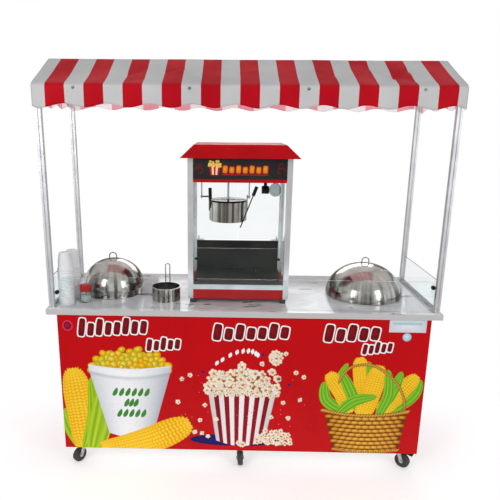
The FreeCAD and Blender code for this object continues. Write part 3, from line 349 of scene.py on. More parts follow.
def striped(name, red, white, glow=0.0):
    """Coated canvas: stripes along the sheet's U, which is in metres, over a fine weave. Glow is painted
    light: the share of its dyed colour that the cloth emits, standing in for daylight that comes through it.
    Faces that look up get painted shade."""
    made = Finish(name, white, 0.55, shine=0.1)
    along = made.split(made.uv)[0]
    pitches = made.maths("DIVIDE", made.maths("SUBTRACT", along, STRIPE_SHIFT * MM), STRIPE_PITCH * MM)
    phase = made.maths("FRACT", made.maths("ADD", pitches, 0.5))
    off_centre = made.maths("ABSOLUTE", made.maths("SUBTRACT", phase, 0.5))
    edge = STRIPE_WIDTH / STRIPE_PITCH / 2
    is_red = made.span(off_centre, edge - STRIPE_BLUR, edge + STRIPE_BLUR, 1.0, 0.0)
    clouds = made.noise(5.0, 4.0)
    worn = made.span(clouds, 0.35, 0.7)
    dusty = made.mix(worn, white, dimmed(white, 0.88))
    faded = made.mix(worn, red, dimmed(red, 0.8))
    # painted shade: the cloth's colour is darkened where it faces up
    painted_top_shade = made.span(made.facing()[2], 0.3, 0.8, 0.0, TOP_PAINTED_SHADE)
    dyed = made.mix(is_red, dusty, faded)
    made.set("Base Color", made.mix(painted_top_shade, dyed, (0, 0, 0, 1)))
    # painted light: the cloth emits its own dyed colour, at the glow share
    made.set("Emission Color", dyed).set("Emission Strength", glow)
    made.set("Roughness", made.span(clouds, 0.3, 0.7, 0.48, 0.64))
    weave = {"Vector": made.uv, "Scale": 260.0}
    threads = [made.node("ShaderNodeTexWave", weave, bands_direction=axis).outputs["Fac"] for axis in "XY"]
    made.bump(made.maths("ADD", *threads), 0.00006, 0.6)
    return made.bump(made.noise(14.0, 3.0, made.stretched((1.0, 0.5, 1.0))), 0.004, 0.5)


def hem_height(along, end_gap):
    """The scalloped hem's height at a place along the valance, lower near a corner."""
    wave = HEM_HEIGHT * cos(2 * pi * (along + HEM_PHASE) / HEM_WAVE)
    droop = (HEM_REST - HEM_HEIGHT + wave) * exp(-(end_gap / CORNER_REACH) ** 2)
    return COVER_LOW.z + HEM_REST - wave - max(0, droop) + 1


def roof_point(x, y, share):
    """The roof sheet at a place: share is 0 at an eave and 1 at the ridge."""
    bay = (x - COVER_LOW.x) / (COVER_HIGH.x - COVER_LOW.x) * RAFTER_BAYS
    sag = BAY_SAG * abs(sin(pi * bay)) ** 0.8 * sin(pi * share) ** 0.8
    ripple = 2.6 * noise.noise(Vector((x / 210, y / 420, 3.1)))
    ripple += 1.2 * noise.noise(Vector((x / 60, y / 260, 8.4)))
    crease = sum(depth * exp(-((x - foot - lean * share) / width) ** 2)
                 for foot, lean, width, depth in CREASES)
    crease *= sin(pi * share)
    tension = sin(pi * share) ** 0.6
    return Vector((x + 3 * noise.noise(Vector((x / 300, y / 150, 5.2))) * tension, y,
                   EAVE + RIDGE_RISE * share - sag + (ripple - crease) * tension))


def sheet_rows():
    """The sheet's cross-section from the front hem over the ridge to the rear hem: (zone, y, share) rows."""
    front, rear = COVER_LOW.y + SHEET, COVER_HIGH.y - SHEET
    middle = (front + rear) / 2
    rows = [("front", front, k / VALANCE_ROWS) for k in range(VALANCE_ROWS)]
    rows += [("roof", front + (middle - front) * k / ROOF_ROWS, k / ROOF_ROWS) for k in range(ROOF_ROWS)]
    rows += [("roof", middle + (rear - middle) * k / ROOF_ROWS, 1 - k / ROOF_ROWS)
             for k in range(ROOF_ROWS + 1)]
    rows += [("rear", rear, 1 - k / VALANCE_ROWS) for k in range(1, VALANCE_ROWS + 1)]
    return rows


def sheet_point(x, zone, y, share):
    if zone == "roof":
        return roof_point(x, y, share)
    out = -1 if zone == "front" else 1
    hang = 1 - share
    low = hem_height(x, COVER_HIGH.x - abs(x))
    wave = cos(2 * pi * (x + HEM_PHASE) / HEM_WAVE)
    fold = hang * (3.2 * wave + 2.0 * noise.noise(Vector((x / 70, 1.7 * out, hang))))
    return Vector((x, y + out * fold, EAVE + (low - EAVE) * hang))


def soften(grid):
    """Rounds the folds at the eaves and the ridge, by averaging across the rows beside them."""
    folds = (VALANCE_ROWS, VALANCE_ROWS + ROOF_ROWS, VALANCE_ROWS + 2 * ROOF_ROWS)
    near = [row for fold in folds for row in (fold - 1, fold, fold + 1)]
    for _ in range(SOFTEN_ROUNDS):
        before = [column[:] for column in grid]
        for column, old in zip(grid, before):
            for row in near:
                column[row] = old[row] * 0.5 + (old[row - 1] + old[row + 1]) * 0.25


def gable_columns(side, column, rim_x, first, last, start, points):
    """The hanging end cloth: a column of point numbers under each place of the roof's edge, and its way
    along the end. New points go onto points; the two outer columns are the valances' own ends."""
    columns = []
    for j in range(first, last + 1):
        top = column[j]
        if j == first:
            ids = [start + first - k for k in range(VALANCE_ROWS + 1)]
        elif j == last:
            ids = [start + last + k for k in range(VALANCE_ROWS + 1)]
        else:
            gap = min(top.y - COVER_LOW.y, COVER_HIGH.y - top.y)
            low = hem_height(side * (rim_x + top.y), gap)
            ids = [start + j]
            for k in range(1, VALANCE_ROWS + 1):
                hang = k / VALANCE_ROWS
                swell = side * hang * 4 * noise.noise(Vector((top.y / 60, 2.3 * side, hang)))
                points.append(Vector((top.x + swell, top.y, top.z + (low - top.z) * hang)))
                ids.append(len(points) - 1)
        columns.append((ids, top.y - COVER_LOW.y))
    return columns


def canopy_mesh():
    """Points, faces and face UVs of one sheet: roof, both valances, and ends that share their edges."""
    rows = sheet_rows()
    low_x, high_x = COVER_LOW.x + SHEET, COVER_HIGH.x - SHEET
    xs = [low_x + (high_x - low_x) * k / SHEET_COLUMNS for k in range(SHEET_COLUMNS + 1)]
    grid = [[sheet_point(x, *row) for row in rows] for x in xs]
    soften(grid)
    points = [p for column in grid for p in column]
    count = len(rows)
    path = [0.0]
    for row in range(1, count):
        path.append(path[-1] + (grid[0][row] - grid[0][row - 1]).length)
    faces, uvs = [], []
    for i in range(SHEET_COLUMNS):
        for j in range(count - 1):
            corners = [(i, j), (i + 1, j), (i + 1, j + 1), (i, j + 1)]
            faces.append([a * count + b for a, b in corners])
            uvs.append([(xs[a] * MM, path[b] * MM) for a, b in corners])
    first, last = VALANCE_ROWS, count - 1 - VALANCE_ROWS
    for side, i in ((-1, 0), (1, SHEET_COLUMNS)):
        columns = gable_columns(side, grid[i], high_x, first, last, i * count, points)
        for (left, left_way), (right, right_way) in zip(columns, columns[1:]):
            for k in range(VALANCE_ROWS):
                face = [left[k], left[k + 1], right[k + 1], right[k]]
                ways = [left_way, left_way, right_way, right_way]
                uv = [(side * (high_x + way) * MM, points[v].z * MM) for v, way in zip(face, ways)]
                faces.append(face[::side])
                uvs.append(uv[::side])
    return points, faces, uvs


def canopy():
    """The striped sheet, with a paler, glowing underside: painted light standing in for daylight that comes
    through the cloth.
    """
    points, faces, uvs = canopy_mesh()
    cloth = mesh_piece("canopy_cloth", points, faces,
                       [striped("striped_canvas", rgb(194, 0, 24), rgb(205, 204, 204)),
                        # painted light: the underside's paler colours and its glow stand in for daylight
                        # through the cloth
                        striped("canvas_underside", rgb(236, 160, 170), rgb(240, 238, 239), UNDERSIDE_PAINTED_GLOW)])
    layer = cloth.data.uv_layers.new(name="Sheet")
    for polygon, corners in zip(cloth.data.polygons, uvs):
        for loop, uv in zip(polygon.loop_indices, corners):
            layer.data[loop].uv = uv
    thick = cloth.modifiers.new("thickness", "SOLIDIFY")
    thick.thickness, thick.offset, thick.material_offset, thick.material_offset_rim = SHEET * MM, -1, 1, 0
    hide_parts("canopy_cover")


# Printed artwork ---------------------------------------------

LAYER_STEP = 0.03               # between one layer of ink and the next
LAYER_SHARE, LAYER_SHARES = 0.13, 7     # neighbours in a layer differ by this share of a step, in turn


def printed_film():
    """Gloss film whose ink colours are stored in the mesh."""
    made = Finish("printed_film", rgb(255, 255, 255), 0.24, shine=LOW_SHEEN)
    ink = made.node("ShaderNodeVertexColor", layer_name="Ink").outputs["Color"]
    mottle = made.noise(60.0, 3.0)
    made.set("Base Color", made.mix(made.span(mottle, 0.3, 0.75, 0.0, 0.05), ink, (0, 0, 0, 1)))
    made.set("Roughness", made.span(made.noise(9.0), 0.3, 0.7, 0.2, 0.3))
    return made.bump(made.noise(300.0, 2.0), 0.00003)


FILM = printed_film()


YELLOW, AMBER, HUSK, LIME = rgb(255, 212, 14), rgb(236, 162, 2), rgb(84, 160, 20), rgb(192, 220, 28)
CREAM, BROWN, WHITE = rgb(252, 240, 205), rgb(176, 104, 34), rgb(250, 248, 246)
DARK_RED, TOASTED, GOLDEN = rgb(96, 6, 14), rgb(176, 84, 16), rgb(244, 170, 30)


def blend_colours(first, second, share):
    return tuple(a + (b - a) * share for a, b in zip(first, second))


class Artwork:
    """Flat coloured shapes just in front of a panel, each above those that it covers. They are laid out in
    millimetres across from the cart's middle and up from the floor, and kept inside the panel."""

    def __init__(self, name, panel="front_panel", lift=0.15, seed=0):
        self.name, self.lift, self.chance = name, lift, random.Random(seed)
        self.low, self.high = box(panel)
        self.points, self.faces, self.inks, self.laid = [], [], [], []

    def lay(self, spots, loose=0.0):
        """Adds a shape's (x, z, ink) corners one layer above whatever it covers. Loose lets edges touch."""
        xs, zs = [spot[0] for spot in spots], [spot[1] for spot in spots]
        left, right, low, high = min(xs), max(xs), min(zs), max(zs)
        trim_x, trim_z = (right - left) * loose / 2, (high - low) * loose / 2
        left, right, low, high = left + trim_x, right - trim_x, low + trim_z, high - trim_z
        covered = [under[4] for under in self.laid
                   if under[0] < right and under[1] > left and under[2] < high and under[3] > low]
        layer = 1 + max(covered, default=0)
        apart = LAYER_SHARE * (len(self.laid) % LAYER_SHARES)
        self.laid.append((left, right, low, high, layer))
        depth = self.low.y - self.lift - LAYER_STEP * (layer + apart)
        first = len(self.points)
        for x, z, ink in spots:
            self.points.append((min(max(x, self.low.x + 1), self.high.x - 1), depth,
                                min(max(z, self.low.z + 1), self.high.z - 1)))
            self.inks.append(ink)
        return first

    def patch(self, columns):
        """A grid of (x, z, ink) columns."""
        tall = len(columns[0])
        first = self.lay([spot for column in columns for spot in column])
        for k in range(len(columns) - 1):
            for j in range(tall - 1):
                corner = first + k * tall + j
                self.faces.append((corner, corner + tall, corner + tall + 1, corner + 1))

    def shape(self, outline, ink, middle=None, centre=None, loose=0.0):
        """A filled outline, with another ink at its centre if one is given."""
        spots = len(outline)
        if centre is None:
            centre = (sum(p[0] for p in outline) / spots, sum(p[1] for p in outline) / spots)
        hub = self.lay([(*centre, middle or ink)] + [(x, z, ink) for x, z in outline], loose)
        for k in range(spots):
            self.faces.append((hub, hub + 1 + k, hub + 1 + (k + 1) % spots))

    def oval(self, x, z, wide, tall, ink, middle=None, lean=0.0, sides=10, power=2.0):
        """A shaded oval, squarer with a higher power. Its bright centre sits towards the upper left."""
        ring = []
        across, along = cos(lean), sin(lean)
        for k in range(sides):
            angle = 2 * pi * k / sides
            c, s = cos(angle), sin(angle)
            size = (abs(c) ** power + abs(s) ** power) ** (-1 / power)
            a, b = wide * c * size, tall * s * size
            ring.append((x + a * across - b * along, z + a * along + b * across))
        self.shape(ring, ink, middle, (x - 0.22 * wide, z + 0.25 * tall) if middle else (x, z), 0.2)

    def flake(self, x, z, size):
        """A popped kernel: a few round lobes round a toasted heart."""
        chance = self.chance
        lobes = chance.choice((4, 5, 5, 6))
        start = chance.uniform(0, pi)
        for k in range(lobes):
            angle = start + 2 * pi * k / lobes
            reach = size * chance.uniform(0.42, 0.6)
            radius = size * chance.uniform(0.4, 0.58)
            rim = blend_colours(CREAM, BROWN, chance.uniform(0.1, 0.6))
            spot = x + reach * cos(angle), z + reach * sin(angle)
            self.oval(*spot, radius, radius * chance.uniform(0.8, 1), rim,
                      blend_colours(WHITE, CREAM, chance.uniform(0, 0.4)), angle, 9)
        if chance.random() < 0.7:
            self.oval(x + size * 0.1, z - size * 0.1, size * 0.36, size * 0.26, TOASTED, GOLDEN,
                      chance.uniform(0, 3), 7)

    def heap(self, power, left, right, low, top, pitch):
        """Places that fill a domed heap, the highest first. A higher power gives it squarer shoulders."""
        middle, half = (left + right) / 2, (right - left) / 2
        spots = []
        rows = int((top - low) / pitch) + 1
        for row in range(rows):
            z = low + row * pitch
            reach = half * max(0.0, 1 - ((z - low) / (top - low)) ** power) ** (1 / power)
            count = max(1, int(2 * reach / pitch))
            for k in range(count + 1):
                x = middle - reach + 2 * reach * k / count
                spots.append((x + self.chance.uniform(-0.3, 0.3) * pitch,
                              z + self.chance.uniform(-0.3, 0.3) * pitch))
        return sorted(spots, key=lambda spot: -spot[1])

    def print_on(self):
        """Makes the piece, with each point's ink stored in its mesh."""
        made = mesh_piece(self.name, self.points, self.faces, [FILM], smooth=False)
        layer = made.data.color_attributes.new("Ink", "FLOAT_COLOR", "POINT")
        for spot, ink in zip(layer.data, self.inks):
            spot.color = ink


def curve(points, share):
    """A point on the smooth curve through three or more points."""
    spans = len(points) - 1
    k = min(int(share * spans), spans - 1)
    s = share * spans - k
    p = [points[max(k - 1, 0)], points[k], points[k + 1], points[min(k + 2, spans)]]
    return tuple(0.5 * (2 * p[1][a] + (p[2][a] - p[0][a]) * s
                        + (2 * p[0][a] - 5 * p[1][a] + 4 * p[2][a] - p[3][a]) * s ** 2
                        + (3 * p[1][a] - p[0][a] - 3 * p[2][a] + p[3][a]) * s ** 3) for a in (0, 1))


def band(points, steps):
    """(centre, direction, share) along a curve."""
    for k in range(steps + 1):
        share = k / steps
        here = Vector(curve(points, share))
        ahead = Vector(curve(points, min(share + 0.01, 1)))
        behind = Vector(curve(points, max(share - 0.01, 0)))
        yield here, (ahead - behind).normalized(), share


def cob(art, axis, width, rows, taper=0.55, base=0.25):
    """An ear of corn: kernels in rows along a curved axis. It narrows from the share taper to the tip, and
    from the share base back to its foot."""
    length = sum((Vector(b) - Vector(a)).length for a, b in zip(axis, axis[1:]))
    pitch = width / rows * 1.15
    steps = max(4, round(length / pitch))

    def half(share):
        tip = max(0.0, 1 - max(0.0, (share - taper) / (1 - taper)) ** 2.2) ** 0.5
        root = 1 - (1 - min(1, share / base)) ** 2 * 0.35
        return width / 2 * tip * root

    columns = []
    for here, way, share in band(axis, 24):
        side = Vector((-way.y, way.x)) * half(share)
        columns.append([(*(here + side * t), AMBER) for t in (-1, -0.5, 0, 0.5, 1)])
    art.patch(columns)
    for here, way, share in band(axis, steps):
        side = Vector((-way.y, way.x))
        lean = atan2(way.y, way.x)
        for row in range(rows):
            angle = pi * ((row + 0.5) / rows - 0.5)
            spot = here + side * half(share) * sin(angle) + way * pitch * 0.25 * (row % 2)
            wide = half(share) * cos(angle) * pi / rows / 2
            if wide > 0.8:
                lit = 0.35 + 0.65 * cos(angle)
                art.oval(*spot, pitch * 0.5, wide * 1.02, blend_colours(AMBER, YELLOW, 0.7 * lit),
                         blend_colours(YELLOW, WHITE, 0.08 * lit), lean, 8, 2.8)


def leaf(art, axis, width, dark, light, point=0.5):
    """A husk leaf with veins along it, widest part way up. Point is how sharply it narrows."""
    columns = []
    for here, way, share in band(axis, 16):
        side = Vector((-way.y, way.x)) * width / 2 * sin(pi * min(1, share * 0.9 + 0.1)) ** point
        strands = []
        for k in range(9):
            t = k / 4 - 1
            tone = 0.5 + 0.5 * cos(k * 2.5 + share) * (1 - share * 0.4)
            strands.append((*(here + side * t), blend_colours(dark, light, tone)))
        columns.append(strands)
    art.patch(columns)


def word_shape(art, start, end, tall, outline, fill, glow, border, lean=-0.14):
    """A row of slanted blocks in place of a word, from one (x, low edge) to another. Tall holds their
    heights in order."""
    gap, climb = (end[0] - start[0]) / len(tall), end[1] - start[1]
    spots = [(start[0] + gap * (k + 0.5), start[1] + climb * (k + 0.5) / len(tall) + height / 2, height / 2)
             for k, height in enumerate(tall)]
    for x, z, half in spots:
        art.oval(x, z, gap * 0.36 + border, half + border, outline, None, lean, 24, 5)
    for x, z, half in spots:
        art.oval(x, z, gap * 0.36, half, fill, glow, lean, 24, 5)


def headline(name, start, end, capital, small, count):
    """One high block and a row of lower ones, every third of them a little higher."""
    art = Artwork("print_headline_" + name, lift=0.1)
    heights = [capital] + [small * (1.3 if k % 3 == 2 else 1) for k in range(1, count)]
    word_shape(art, start, end, heights, WHITE, DARK_RED, rgb(150, 8, 22), 6)
    art.print_on()


def corn_cup_print():
    art = Artwork("print_corn_cup", seed=7)
    chance = art.chance
    leaf(art, [(-800, 112), (-852, 230), (-884, 330)], 90, HUSK, LIME, 0.4)
    cob(art, [(-772, 100), (-800, 330), (-832, 549)], 150, 11)
    leaf(art, [(-790, 100), (-735, 300), (-742, 505)], 70, HUSK, LIME, 0.6)
    leaf(art, [(-745, 100), (-700, 280), (-676, 455)], 120, rgb(120, 160, 10), rgb(196, 226, 50), 0.5)
    rim_low, rim_high, base_low = (-748, -351, 530), (-752, -347, 560), (-664, -440, 196)

    def across(level, t, dip):
        return level[0] + (level[1] - level[0]) * t, level[2] - dip * sin(pi * t)

    spots = art.heap(2.0, -738, -362, 548, 650, 25)
    backing = ((560, 30), (575, -60))
    art.patch([[(*across((-746, -353, z), t / 12, dip), AMBER) for z, dip in backing] for t in range(13)])
    for x, z in spots:
        warm = chance.random()
        ink = blend_colours(rgb(222, 124, 4), rgb(168, 164, 16), warm)
        art.oval(x, z, chance.uniform(19, 24), chance.uniform(15, 19), ink,
                 blend_colours(YELLOW, rgb(255, 240, 90), chance.random()), chance.uniform(0, 3), 12, 2.4)
    wall, lip = [], []
    for t in (k / 16 for k in range(17)):
        off = abs(t - 0.42)
        tone = blend_colours(rgb(247, 247, 249), rgb(176, 180, 192), min(1, (off * 1.7) ** 1.8))
        shadow = blend_colours(tone, rgb(150, 154, 166), 0.5)
        top, foot = across(rim_low, t, 26), across(base_low, t, 24)
        neck = (top[0] + (foot[0] - top[0]) * 0.06, top[1] + (foot[1] - top[1]) * 0.06)
        wall.append([(*foot, tone), (*neck, tone), (*top, shadow)])
        tone = blend_colours(rgb(252, 252, 253), rgb(188, 192, 202), min(1, (off * 1.6) ** 2))
        lip.append([(*across(rim_low, t, 30), blend_colours(tone, rgb(140, 144, 156), 0.4)),
                    (*across((rim_low[0] - 3, rim_low[1] + 3, 541), t, 29), tone),
                    (*across(rim_high, t, 22), tone),
                    (*across((rim_high[0], rim_high[1], 570), t, 20), rgb(236, 237, 240))])
    art.patch(wall)
    art.patch(lip)
    mark_inks = rgb(40, 112, 34), rgb(84, 158, 62)
    for count, z, width in ((6, 424, 190), (3, 366, 70), (5, 308, 150)):
        for k in range(count):
            x = -548 + (k - (count - 1) / 2) * width / count
            leaf(art, [(x - 9, z - 20), (x + 3, z), (x + 12, z + 24)], 21, *mark_inks, 0.9)
    cob(art, [(-700, 96), (-560, 128), (-420, 176), (-252, 262)], 150, 11, taper=0.7, base=0.9)
    art.print_on()


def popcorn_bucket_print():
    art = Artwork("print_popcorn_bucket", seed=11)
    art.oval(-28, 168, 228, 34, rgb(18, 16, 84), rgb(30, 24, 120), sides=28)
    loose = [(-293, 500), (-254, 522), (-314, 375), (-180, 361), (-205, 277), (-124, 284), (97, 587),
             (211, 642), (264, 543), (304, 522), (290, 398), (207, 380), (150, 301), (235, 297), (-275, 196),
             (-230, 209), (-194, 204), (-164, 187)]
    art.oval(4, 456, 146, 92, rgb(132, 66, 20), rgb(176, 104, 34), sides=28)
    for x, z in art.heap(2.6, -168, 176, 440, 572, 33):
        art.flake(x, z, 23)
    stripes = 13
    for k in range(stripes):
        ink = rgb(150, 8, 26) if k % 2 else rgb(244, 240, 240)
        columns = []
        for t in (k / stripes, (k + 0.5) / stripes, (k + 1) / stripes):
            tone = blend_colours(ink, (0, 0, 0, 1), 0.30 * abs(2 * t - 1) ** 2.5)
            bow = sin(pi * t)
            columns.append([(-123 + 243 * t, 165 - 30 * bow, tone), (-165 + 336 * t, 440 - 20 * bow, tone)])
        art.patch(columns)
    for x, z in art.heap(2.0, -158, 168, 424, 446, 20):
        art.flake(x, z, 14)
    for x, z in loose:
        art.flake(x, z, 13)
    for x, z in art.heap(2.0, 79, 250, 160, 226, 20):
        art.flake(x, z, 15)
    art.flake(9, 146, 20)
    art.flake(-10, 152, 14)
    for k in range(9):
        angle = 2 * pi * k / 9
        art.flake(164 + 22 * cos(angle), 620 + 26 * sin(angle), 17)
    art.flake(164, 620, 22)
    for x, z in ((-190, 539), (100, 635), (182, 509), (233, 478)):
        art.shape([(x + r * cos(k * pi / 5), z + r * sin(k * pi / 5))
                   for k, r in zip(range(10), (11, 5) * 5)], rgb(46, 20, 110))
    for k in range(26):
        spot = art.chance.uniform(-320, 320), art.chance.uniform(250, 560)
        art.oval(*spot, 2.6, 2.6, rgb(236, 120, 140), sides=6)
    for k in range(9):
        x, z = curve([(-122, 588), (-35, 643), (37, 654), (76, 634)], k / 8)
        art.oval(x, z, 9, 15, WHITE, None, -0.5 + k * 0.06, 16, 1.3)
    art.print_on()


def weave_point(t, row):
    """A place on the basket's side: t across it, row down it."""
    left, right = 416 + (470 - 416) * row, 818 + (790 - 818) * row
    return left + (right - left) * t, 326 - 205 * row - 14 * sin(pi * t)


def corn_basket_print():
    art = Artwork("print_corn_basket")
    brown, tan, cane = rgb(112, 54, 2), rgb(222, 140, 24), rgb(255, 200, 84)

    def husk(axis, width, point=0.5):
        leaf(art, axis, width, rgb(52, 144, 20), rgb(160, 218, 54), point)

    def braid(axis, steps, thick):
        for here, way, _ in band(axis, steps):
            lean = atan2(way.y, way.x) + 0.75
            art.oval(*here, thick, thick * 0.42, brown, cane, lean, 8)

    husk([(560, 350), (470, 470), (512, 600)], 46)
    cob(art, [(600, 390), (586, 520), (566, 630)], 84, 9)
    husk([(640, 340), (634, 500), (612, 610)], 50)
    husk([(520, 330), (420, 400), (404, 500)], 60)
    cob(art, [(548, 340), (490, 450), (420, 545)], 88, 9)
    husk([(590, 330), (530, 460), (478, 560)], 58)
    husk([(730, 330), (840, 430), (868, 520)], 60)
    cob(art, [(690, 340), (770, 440), (852, 540)], 88, 9)
    husk([(680, 330), (740, 450), (776, 560)], 56)
    cob(art, [(600, 320), (640, 460), (668, 590)], 100, 10)
    husk([(680, 320), (720, 440), (708, 570)], 54)
    husk([(480, 330), (560, 400), (668, 424)], 62, 0.7)
    braid([(474, 500), (524, 574), (619, 592), (694, 556), (763, 488), (800, 408), (806, 344)], 56, 11)
    rows, strands = 9, 11
    art.patch([[(*weave_point(t / 16, row), brown) for row in (0, 1)] for t in range(17)])
    for row in range(rows):
        for k in range(strands):
            t = (k + 0.5 + 0.5 * (row % 2)) / strands
            if t < 1:
                x, z = weave_point(t, (row + 0.5) / rows)
                lit = 1 - 0.6 * abs(2 * t - 1) ** 2
                art.oval(x, z, 20, 9.4, blend_colours(brown, tan, 0.55 * lit),
                         blend_colours(tan, cane, lit), 0, 12, 3)
    braid([(404, 345), (500, 326), (614, 318), (730, 326), (826, 345)], 34, 15)
    braid([(468, 130), (540, 118), (630, 113), (720, 118), (794, 130)], 30, 11)
    art.print_on()


def stickers_print():
    """Two blank stickers and a small badge without a mark."""
    art = Artwork("print_stickers", lift=0.1)
    paper, edge = rgb(232, 236, 238), rgb(206, 216, 222)
    art.shape([(695, 762), (870, 762), (870, 827), (695, 827)], edge, paper)
    art.shape([(712, 800), (850, 800), (850, 812), (712, 812)], rgb(176, 206, 220))
    art.oval(783, 738, 21, 21, rgb(150, 196, 220), rgb(226, 236, 242), sides=24)
    art.oval(-843, 771, 25, 27, rgb(216, 60, 90), None, sides=24)
    art.oval(-843, 771, 19, 21, rgb(120, 8, 40), rgb(170, 20, 60), sides=24)
    art.print_on()


def scroll(art, x, z, side, turn, size, ink):
    """A thin line that winds inwards through most of a turn."""
    columns = []
    for k in range(26):
        angle = side * (k / 25 * 1.6 * pi) + (pi if side < 0 else 0) + turn
        reach = (24 - 18 * k / 25) * size
        c, s = cos(angle), sin(angle)
        columns.append([(x + (reach + w) * c, z + (reach + w) * s, ink) for w in (-1.6, 1.6)])
    art.patch(columns)


def sign_artwork():
    """A striped popcorn box, a row of plain blocks, an underline and two scrolls at each end."""
    art = Artwork("sign_artwork", "sign_panel", seed=5)
    middle, foot = (art.low.x + art.high.x) / 2, art.low.z + 20
    gold, ember, pale, wine = rgb(240, 176, 40), rgb(206, 36, 22), rgb(250, 220, 180), rgb(128, 22, 26)
    stripes = 5
    for k in range(stripes):
        ink = pale if k % 2 else ember
        art.patch([[(middle - 138 + 38 * t, foot, ink), (middle - 144 + 50 * t, foot + 40, ink)]
                   for t in (k / stripes, k / stripes + 1 / stripes)])
    for x, z in art.heap(2.0, middle - 146, middle - 92, foot + 42, foot + 66, 9):
        art.oval(x, z, 7, 6, gold, rgb(255, 236, 140), art.chance.uniform(0, 3), 8)
    word_shape(art, (middle - 86, foot + 8), (middle + 134, foot + 8), [36, 30, 36, 30, 36, 30, 36],
               rgb(150, 26, 20), rgb(222, 104, 34), gold, 3, -0.06)
    left, right = middle - 84, middle + 132
    art.shape([(left, foot), (right, foot), (right, foot + 3), (left, foot + 3)], ember)
    for side in (-1, 1):
        for turn, size in ((0, 1.0), (1, 0.7)):
            scroll(art, middle + side * 190, foot + 16 + 22 * turn, side, turn, size, wine)
    art.print_on()


# Small things that the frame doesn't have --------------------

def foam():
    made = Finish("white_foam", rgb(240, 240, 241), 0.6)
    made.worn(rgb(242, 242, 243), rgb(226, 227, 229), 12.0, 0.5, 0.7)
    return made.bump(made.cells(700.0), 0.00008, 0.4)


def on_worktop(from_left, from_front):
    """A place on the worktop, counted from its front left corner."""
    low, high = box("worktop")
    return low.x + from_left, low.y + from_front, high.z


def cup_stack(name, place, height, finish):
    """Nested foam cups, upside down: one rim step for each cup and the top cup's tapered wall."""
    cup_height, pitch, rim, foot = 88, 11.5, 39, 26
    cups = round((height - cup_height) / pitch)
    profile = [(rim - 3, 0)]
    for k in range(cups + 1):
        low = k * pitch
        profile += [(rim - 0.4, low + 0.4), (rim, low + 1.6), (rim - 0.3, low + 4.2), (rim - 2.6, low + 5),
                    (rim - 3.4, low + pitch - 0.5)]
    top = (cups + 1) * pitch
    profile += [(rim - 4.4, top + 2), ((rim + foot) / 2, top + (height - top) * 0.55), (foot + 1, height - 5),
                (foot, height - 1.6), (foot - 2, height), (0.1, height - 0.6)]
    turned(name, profile, place, finish, 44)


def jar():
    """A salt jar with a red screw lid."""
    place, sides = on_worktop(164, 123), 40
    wall = [(0.1, 0.6), (24, 0.6), (27, 3), (28, 8), (28, 48), (26, 54), (24.5, 57), (24.5, 63), (22.5, 63),
            (22.5, 56), (24, 52), (26, 47), (26, 9), (24, 5), (0.1, 4)]
    turned("jar_glass", wall, place, clear("jar_glass_finish", rgb(238, 246, 246), 0.01), sides)
    lid = [(25.2, 56), (27.6, 56.4), (28, 58), (28, 84), (26.6, 87), (22, 88), (0.1, 88)]
    turned("jar_lid", lid, place, paint("jar_lid_red", rgb(196, 14, 26), rgb(170, 8, 18), 0.3), sides)
    salt = [(0.1, 4.6), (24, 5.2), (25.6, 9), (25.6, 30), (20, 34), (9, 35.5), (0.1, 36)]
    fill = Finish("jar_fill", rgb(236, 232, 226), 0.7)
    fill.worn(rgb(240, 237, 232), rgb(206, 198, 188), 90.0, 0.6, 0.85)
    fill.bump(fill.noise(900.0, 2.0), 0.0003)
    turned("jar_salt", salt, place, fill, sides)


def button(name, x, y, z, radius, depth, finish):
    """A domed round fastener whose axis points at the customers."""
    steps, rings = 20, 4
    points, faces = [(x, y - depth, z)], []
    for ring in range(1, rings + 1):
        lean = ring / rings * pi / 2
        for k in range(steps):
            angle = 2 * pi * k / steps
            points.append((x + radius * sin(lean) * cos(angle), y - depth * cos(lean),
                           z + radius * sin(lean) * sin(angle)))
    for k in range(steps):
        after = (k + 1) % steps
        faces.append((0, 1 + k, 1 + after))
        for ring in range(rings - 1):
            a, b = 1 + ring * steps, 1 + (ring + 1) * steps
            faces.append((a + k, b + k, b + after, a + after))
    return mesh_piece(name, points, faces, [finish])


def sill():
    """A bent aluminium strip along the front of the popping machine's base, under the glass."""
    sign_low, sign_high = box("sign_panel")
    left, right, deck = sign_low.x, sign_high.x, box("floor_deck")[0].z
    front, thick = box("machine_base")[0].y - 0.3, 1.6
    section = [(front, deck - 18), (front - thick, deck - 18), (front - thick, deck + 2.2),
               (front - thick + 1.2, deck + 3.4), (front + 12, deck + 3.4), (front + 12, deck + 2.2),
               (front + 1, deck + 2.2), (front, deck + 1.2)]
    points = [(x, y, z) for x in (left, right) for y, z in section]
    count = len(section)
    faces = [(k, k + count, (k + 1) % count + count, (k + 1) % count) for k in range(count)]
    faces += [tuple(range(count)), tuple(reversed(range(count, 2 * count)))]
    aluminium = steel("sill_aluminium", rgb(232, 233, 235), rgb(212, 214, 218), 0.34, (0.02, 1, 1))
    mesh_piece("machine_sill", points, faces, [aluminium], smooth=False)


def vent_cover():
    """A dark gauze tray behind the slots of the popping machine's rear upstand."""
    low, high = box("floor_deck")
    middle = (low.x + high.x) / 2 + 40
    wide, bottom, top, back = 84, low.z + 18, low.z + 98, high.y + 0.2
    rings = [(0, 0.0), (0, 1.2), (6, 1.2), (9, 3.2)]
    points = []
    for inset, out in rings:
        for side, level in ((-1, bottom + inset), (1, bottom + inset), (1, top - inset), (-1, top - inset)):
            points.append((middle + side * (wide - inset), back + out, level))
    faces = [(a + k, a + (k + 1) % 4, a + 4 + (k + 1) % 4, a + 4 + k) for a in (0, 4, 8) for k in range(4)]
    faces += [(3, 2, 1, 0), (12, 13, 14, 15)]
    gauze = paint("gauze_black", rgb(64, 62, 60), rgb(50, 48, 47), 0.5)
    gauze.bump(gauze.cells(420.0), 0.0004, 0.8)
    mesh_piece("vent_cover", points, faces, [gauze], smooth=False)


